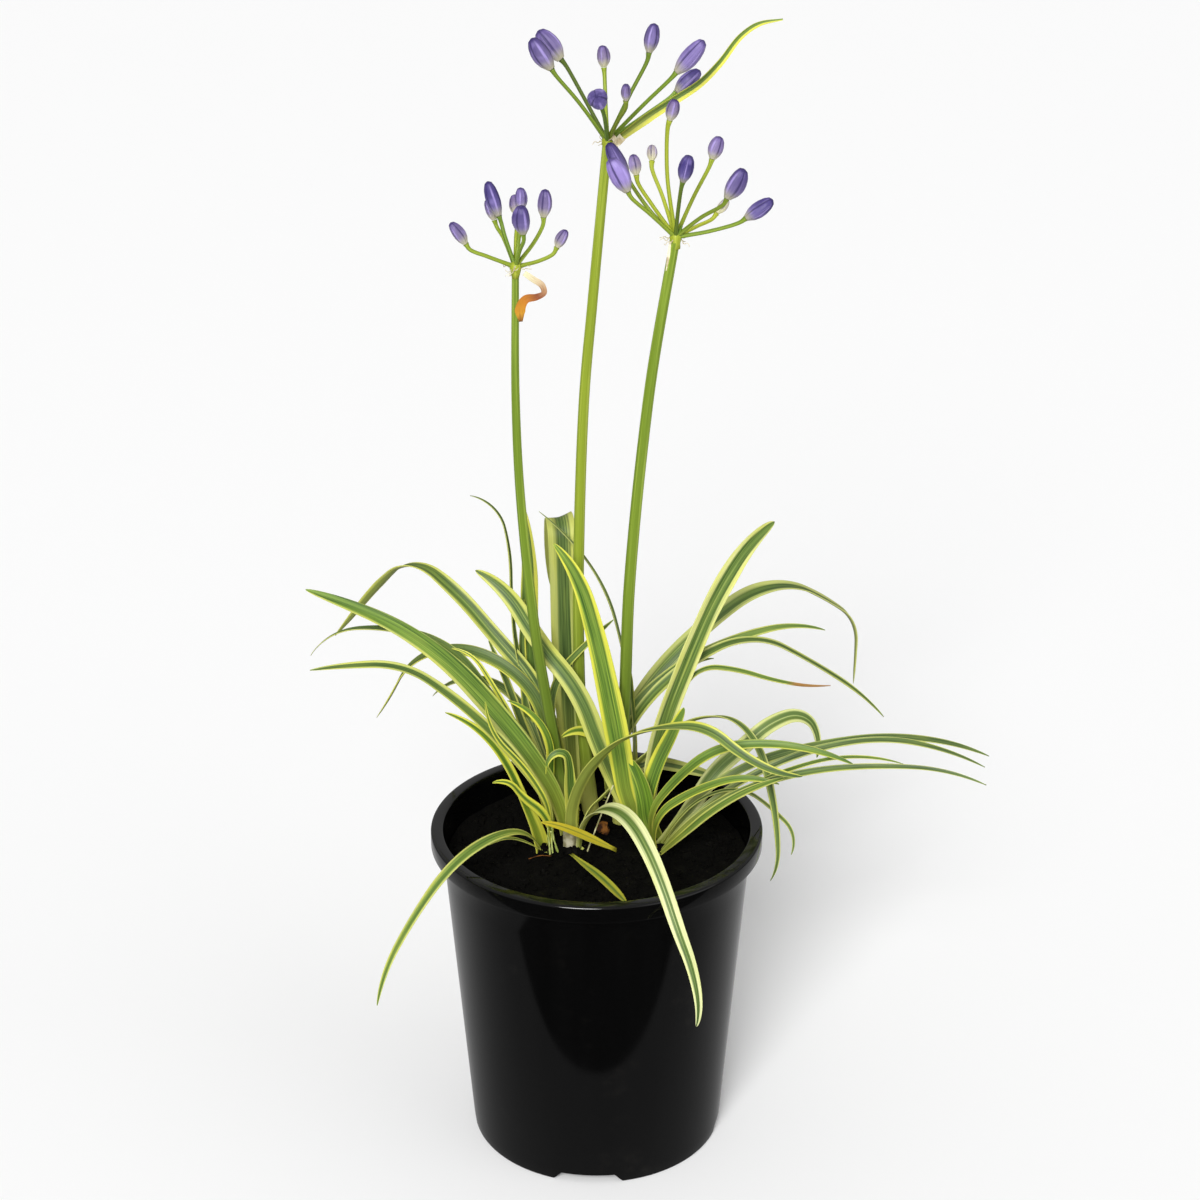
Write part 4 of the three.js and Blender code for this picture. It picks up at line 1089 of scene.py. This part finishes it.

# %% [markdown]
# ## The buds
# An unopened flower is six petals folded into a blunt spindle: three outer ones that meet in shallow
# seams, each with a raised rib down its middle. It is violet where it is ripe, and pale, nearly cream
# at its foot when young. The mesh carries the angle round the bud, so the shader can paint shade into
# the seams and make the ribs paler, partly their own colour and partly a painted highlight.

# %% Bud finish
def bud_finish():
    material, start, surface = new_finish("violet_bud", Specular_IOR_Level=0.4)
    angle, _, share = note(start, "place")
    age, seed, bright = note(start, "looks")
    wave = 0.5 + 0.5 * start.math("COSINE", angle * 3.0)
    fine = noise(triple(angle * 4.0 + seed * 7.0, share * 1.4, seed * 31.0), 1.6, 3.0)
    cloud = noise(triple(angle * 0.7 + seed * 3.0, share * 2.0, seed * 11.0), 1.3, 1.0)
    young = blend(share, tint(0xb4a8a4), tint(0x725c92))
    ripe = blend(step(share, 0.0, 0.8), tint(0x7266a2), tint(0x3f3475))
    colour = blend(bright, blend(age, young, ripe), tint(0xa893da))
    colour = blend(step(age, 0.28, 0.0) * 0.75, colour, tint(0xd9d4a6))
    rib = step(wave, 0.9, 1.0)
    seam_groove_and_shade = step(wave, 0.07, 0.0)
    # the raised ribs are drawn paler: partly their own paler colour, partly a painted highlight
    colour = blend(rib * 0.55 * step(share, 1.0, 0.7), colour, tint(0xb09ee0))
    colour = blend(step(fine, 0.45, 0.75) * 0.4, colour, tint(0x40346e))
    colour = blend(step(cloud, 0.5, 0.7) * 0.35, colour, tint(0x9686c6))
    # painted shade: the seam grooves are drawn darker
    colour = blend(seam_groove_and_shade * 0.75, colour, tint(0x2e2358))
    colour = blend(step(share, 0.88, 1.0) * 0.7, colour, tint(0x2b2058))
    foot = step(share + 0.16 * (fine - 0.5), 0.56 - 0.22 * age, -0.02)
    colour = blend(foot * 0.9, colour, blend(age, tint(0xdcd8a8), tint(0xa7a286)))
    wear(surface, Base_Color=colour, Roughness=0.42 + 0.15 * fine,
         Normal=bumped(0.6 * rib - 0.8 * seam_groove_and_shade + 0.3 * fine, 0.5, 0.0005))
    return material


violet = bud_finish()
print("bud finish:", len(violet.node_tree.nodes), "nodes")

# %% Shape and place the buds
BUD_OUTLINE = [0.4, 0.82, 1.0, 0.98, 0.82, 0.42]    # half widths from foot to tip, as shares
BUD_SIDES = 42
BUD_ROWS = 34


def bud_radius(share):
    """The half width of a bud at shares of its length, with the outline's corners rounded off."""
    even = np.linspace(0, 1, 120)
    outline = stations(BUD_OUTLINE, even)
    kernel = np.hanning(17) / np.hanning(17).sum()
    return np.interp(share, even, np.convolve(np.pad(outline, 8, mode="edge"), kernel, mode="valid"))


def bud_skin(head, bud, generator):
    """One bud: rings that swell over three petals and sink along the seams between them."""
    share = np.sin(np.linspace(0, np.pi / 2, BUD_ROWS)) ** 1.15
    radius = bud_radius(share) * bud["width"] / 2
    radius *= np.clip((1 - share) / 0.05, 0.12, 1) ** 0.5
    angle = once_round(BUD_SIDES)
    swell = 1 + 0.05 * np.cos(3 * angle) - 0.045 * np.exp(-((np.cos(1.5 * angle)) / 0.16) ** 2)
    swell += 0.02 * np.exp(-((np.sin(1.5 * angle)) / 0.12) ** 2)
    fade = np.sin(np.clip(share, 0.02, 1) * np.pi) ** 0.4
    reach = radius[:, None] * (1 + (swell[None] - 1) * fade[:, None])
    axis = unit(bud["points"])
    side = unit(np.cross(axis, (0.31, 1.0, 0.17)))
    other = np.cross(axis, side)
    turn = generator.uniform(0, 2 * np.pi)
    lean = 0.03 * bud["length"] * np.sin(share * np.pi) * generator.uniform(-1, 1)
    centre = head + np.array(bud["base"]) + np.outer(share * bud["length"], axis) + np.outer(lean, side)
    rings = centre[:, None] + reach[..., None] * (np.cos(angle + turn)[None, :, None] * side
                                                  + np.sin(angle + turn)[None, :, None] * other)
    return skin(rings, {"place": per_point(reach.shape, angle, 0.0, share[:, None]),
                        "looks": per_point(reach.shape, bud["age"], generator.uniform(), bud["bright"])})


for stem_name, stem in STEMS.items():
    for i, bud in enumerate(stem["buds"], 1):
        node = f"{stem_name}_bud_{i}"
        piece(node + "_petals", [bud_skin(heads[stem_name], bud, growth)], violet, [node])
print("buds:", sum(len(s["buds"]) for s in STEMS.values()))

# %% [markdown]
# ## Bracts
# The flower head was wrapped in two leafy bracts. On the middle stem one is still there, a long twisted
# green ribbon, yellow along its lower edge. On the left stem it has dried to a papery curl, cream at
# its foot and red brown beyond, with a flared orange end.

# %% Ribbons
RIBBON_ROWS = 90
RIBBON_THICKNESS = 0.55
RIBBON_CURL = 0.2           # how far the edges stand up, as a share of the half width
NEVER_DRY = 1.3             # the leaf finish withers a blade from this share of its length on


def ribbon(head, places, widths, facing, looks=(0, 0, 0), habit=(0, 0)):
    """A thin strip through places counted from a flower head, with its face turned to one side."""
    line = smooth_line(np.array(places, float) + head, RIBBON_ROWS)
    along, _, _ = frames_along(line)
    t = np.linspace(0, 1, RIBBON_ROWS)
    half = np.maximum(0.25, stations(widths, t)) / 2
    side = np.cross(np.array(facing, float)[None], along)
    side /= np.linalg.norm(side, axis=1)[:, None]
    face = np.cross(along, side)
    u = np.concatenate([SPREAD, SPREAD[::-1]])
    under = np.repeat([0.0, 1.0], len(SPREAD))
    thin = RIBBON_THICKNESS * np.clip(half / 1.2, 0.3, 1)[:, None]
    half, lengths, t = half[:, None], (t * gaps(line).sum())[:, None], t[:, None]
    height = RIBBON_CURL * half * (abs(u) ** 1.4 - 1) - under * thin
    rings = line[:, None] + (u * half)[..., None] * side[:, None] + height[..., None] * face[:, None]
    notes = {"place": per_point(height.shape, u, lengths, t), "looks": per_point(height.shape, *looks),
             "habit": per_point(height.shape, *habit, under),
             "size": per_point(height.shape, half, NEVER_DRY, 0.0)}
    return skin(rings, notes)


green_places = [(8, 2, 2), (24, 5, 13), (38, 6, 22), (52, 8, 31), (63, 10, 42), (74, 12, 56), (84, 12, 63),
                (97, 10, 66)]
green = ribbon(heads["middle"], green_places, [4, 5.5, 5, 4.5, 4, 3.5, 3, 1], (0.3, -1, 0.5),
               (0.4, 0.06, 0.9), (0.5, 0.37))
piece("green_bract_blade", [green], leaf_green, ["green_bract"])
print("green bract:", len(green["faces"]), "faces")

# %% Papery finish and the dry bract
def paper_finish():
    material, start, surface = new_finish("dry_bract", Specular_IOR_Level=0.3)
    across, along, share = note(start, "place")
    ripple = noise(triple(across * 2.2, along * 0.12, 3.0), 1.0, 3.0)
    stops = [(0.0, tint(0xd6d2ac)), (0.2, tint(0xc9b996)), (0.36, tint(0xa8805c)), (0.5, tint(0x824628)),
             (0.7, tint(0xb8741f)), (0.9, tint(0xc08a24)), (1.0, tint(0x6c401c))]
    colour = start.node("ShaderNodeValToRGB", {"stops": stops}, {0: share + 0.1 * (ripple - 0.5)})
    colour = blend(step(ripple, 0.5, 0.75) * 0.35, colour, tint(0x6e3a24))
    wear(surface, Base_Color=colour, Roughness=0.62 + 0.2 * ripple, Normal=bumped(ripple, 0.6, 0.0005))
    return material


papery = paper_finish()
dry_places = [(5, -5, -2), (10, -7, -5), (15, -9, -8), (16, -10, -12), (12, -11, -14), (6, -12, -15),
              (3, -12, -20), (3, -12, -28)]
dry = ribbon(heads["left"], dry_places, [3, 3.5, 3.5, 3, 4, 5, 6, 2], (0.2, -1, 0.4))
piece("dry_bract_curl", [dry], papery, ["dry_spathe"])
print("dry bract:", len(dry["faces"]), "faces")

# %% [markdown]
# ## Scraps at the crown
# A grown plant is never tidy. Pale grass stems and a straw stand against the crown, a whitish sheath
# wraps the foot of a shoot, and a chip of rusty bark lies behind it. They share one simple finish, a
# fine mottle of two colours, and each is a thin tube through a few points, or a lump like the crumbs.

# %% Scraps at the crown
def plain_finish(name, dark, light, roughness):
    material, start, surface = new_finish(name, Roughness=roughness, Specular_IOR_Level=0.2)
    mottle = step(noise(coordinates(start), 260.0, 3.0), 0.35, 0.65)
    wear(surface, Base_Color=blend(mottle, tint(dark), tint(light)))
    return material


straw_green = plain_finish("pale_green_straw", 0x8d9c48, 0xc3cc7c, 0.5)
straw_pale = plain_finish("pale_straw", 0x8f8c5c, 0xc8c59a, 0.6)
rusty = plain_finish("rusty_bark", 0x2c1404, 0x80501c, 0.8)
old_thread = plain_finish("old_thread", 0xb8a884, 0xe9e2c6, 0.6)
sheath_white = plain_finish("white_sheath", 0x8a8560, 0xb9b49a, 0.5)
STRAND_ROWS = 24


def strand(points, thick, thin):
    """A round thread through a few points, thinner towards its end."""
    return tube(smooth_line(points, STRAND_ROWS), np.linspace(thick, thin, STRAND_ROWS), 8)


grass = [strand([(-28, -5, 184), (-28.6, -4.8, 194), (-29.6, -4.4, 206)], 0.7, 0.4),
         strand([(-22, -5, 184), (-24.5, -4.2, 193), (-28, -3.5, 203)], 0.6, 0.35),
         strand([(-23, -3, 184), (-25, -3, 193), (-27, -3, 205)], 0.6, 0.35),
         strand([(-26.2, -4, 184), (-27, -4, 193), (-27.4, -3.6, 203)], 0.6, 0.4)]
piece("grass_stems", grass, straw_green)
straw = strand([(-6.8, -4.2, 186), (1, 4, 205), (10, 12, 226)], 0.5, 0.4)
piece("straw", [straw], straw_pale)
chip = [lump((3.4, 22, 192), 3.6, 0.9, draw), lump((5.2, 21, 190.2), 3.0, 0.8, draw),
        lump((1.6, 21.5, 190.5), 2.4, 0.8, draw)]
piece("rusty_chip", chip, rusty, crease=50)
clumps = ((-19, -4, 2.6), (-16.5, -5.5, 3.6), (-14.5, -3.6, 3.4), (-12.2, -5.2, 3.4), (-10, -6.5, 2.4),
          (-21.5, -6, 1.8))
mound = [lump((x, y, 188.6 + size * 0.5), size, 0.7, draw) for x, y, size in clumps]
piece("dark_mound", mound, earth, crease=CRUMB_CREASE)
sheath_line = smooth_line([(-15.5, 1.5, 184), (-16, 1.0, 192), (-16.5, 1.0, 202)], 16)
sheath = tube(sheath_line, np.linspace(4.6, 3.8, 16), 28, rib=0.05, ribs=7)
piece("white_sheath", [sheath], sheath_white)
print("scraps at the crown:", len(grass) + 4)

# %% [markdown]
# ## Threads and flakes
# Threads and flakes of old bract hang where the flower stalks spread, and one bud has stayed a bare
# stub. Each thread is a short seeded walk away from its head. One rusty fibre lies on the mix.

# %% Threads and flakes
THREADS = 7                 # at each flower head
loose = []
for head in heads.values():
    for _ in range(THREADS):
        angle = growth.uniform(0, 2 * math.pi)
        walk = [head + (2.6 * math.cos(angle), 2.6 * math.sin(angle), -0.5)]
        for _ in range(4):
            angle += growth.uniform(-1.2, 1.2)
            reach, rise = growth.uniform(1.0, 2.6), growth.uniform(-2.2, 1.8)
            walk.append(walk[-1] + (reach * math.cos(angle), reach * math.sin(angle), rise))
        loose.append(strand(walk, 0.32, 0.16))
piece("old_threads", loose, old_thread)
flakes = [ribbon(heads[stem_name], places, widths, facing) for stem_name, places, widths, facing in (
    ("middle", [(2.0, -3, -3.5), (5, -3, -0.5), (8.5, 0.5, 2.6)], [3.0, 4.4, 4.6], (0.3, -1, 0.5)),
    ("middle", [(0, -3.2, 2), (3, -4, 3.5), (5, -3.6, -1)], [2.0, 3.0, 1.2], (0.3, -1, 0.5)),
    ("right", [(-2.8, -2, -2), (-3.8, -2.4, -10), (-5.0, -2.0, -19)], [1.2, 1.8, 0.7], (0.1, -1, 0)))]
piece("bract_scraps", flakes, old_thread)
fibre = strand([(-41, -12, 188.6), (-34, -9.5, 189.4), (-27, -8.5, 188.6)], 0.35, 0.2)
piece("rusty_fibre", [fibre], rusty)
stub = [heads["right"] + offset for offset in ((0.5, -1, 1), (2.2, -1.6, 4), (3.2, -1.8, 7))]
piece("aborted_bud", [strand(stub, 1.2, 0.8)], stalk_green)
print("at the heads:", len(loose), "threads and", len(flakes), "flakes")

# %% [markdown]
# ## Closing
# The boxes of the imported model and of the dressed one are written side by side, to see that nothing
# has grown.

# %% Print the two boxes and finish
size = {"cad": [list(v) for v in cad_box], "visual": [list(v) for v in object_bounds()]}
print("box:", size)
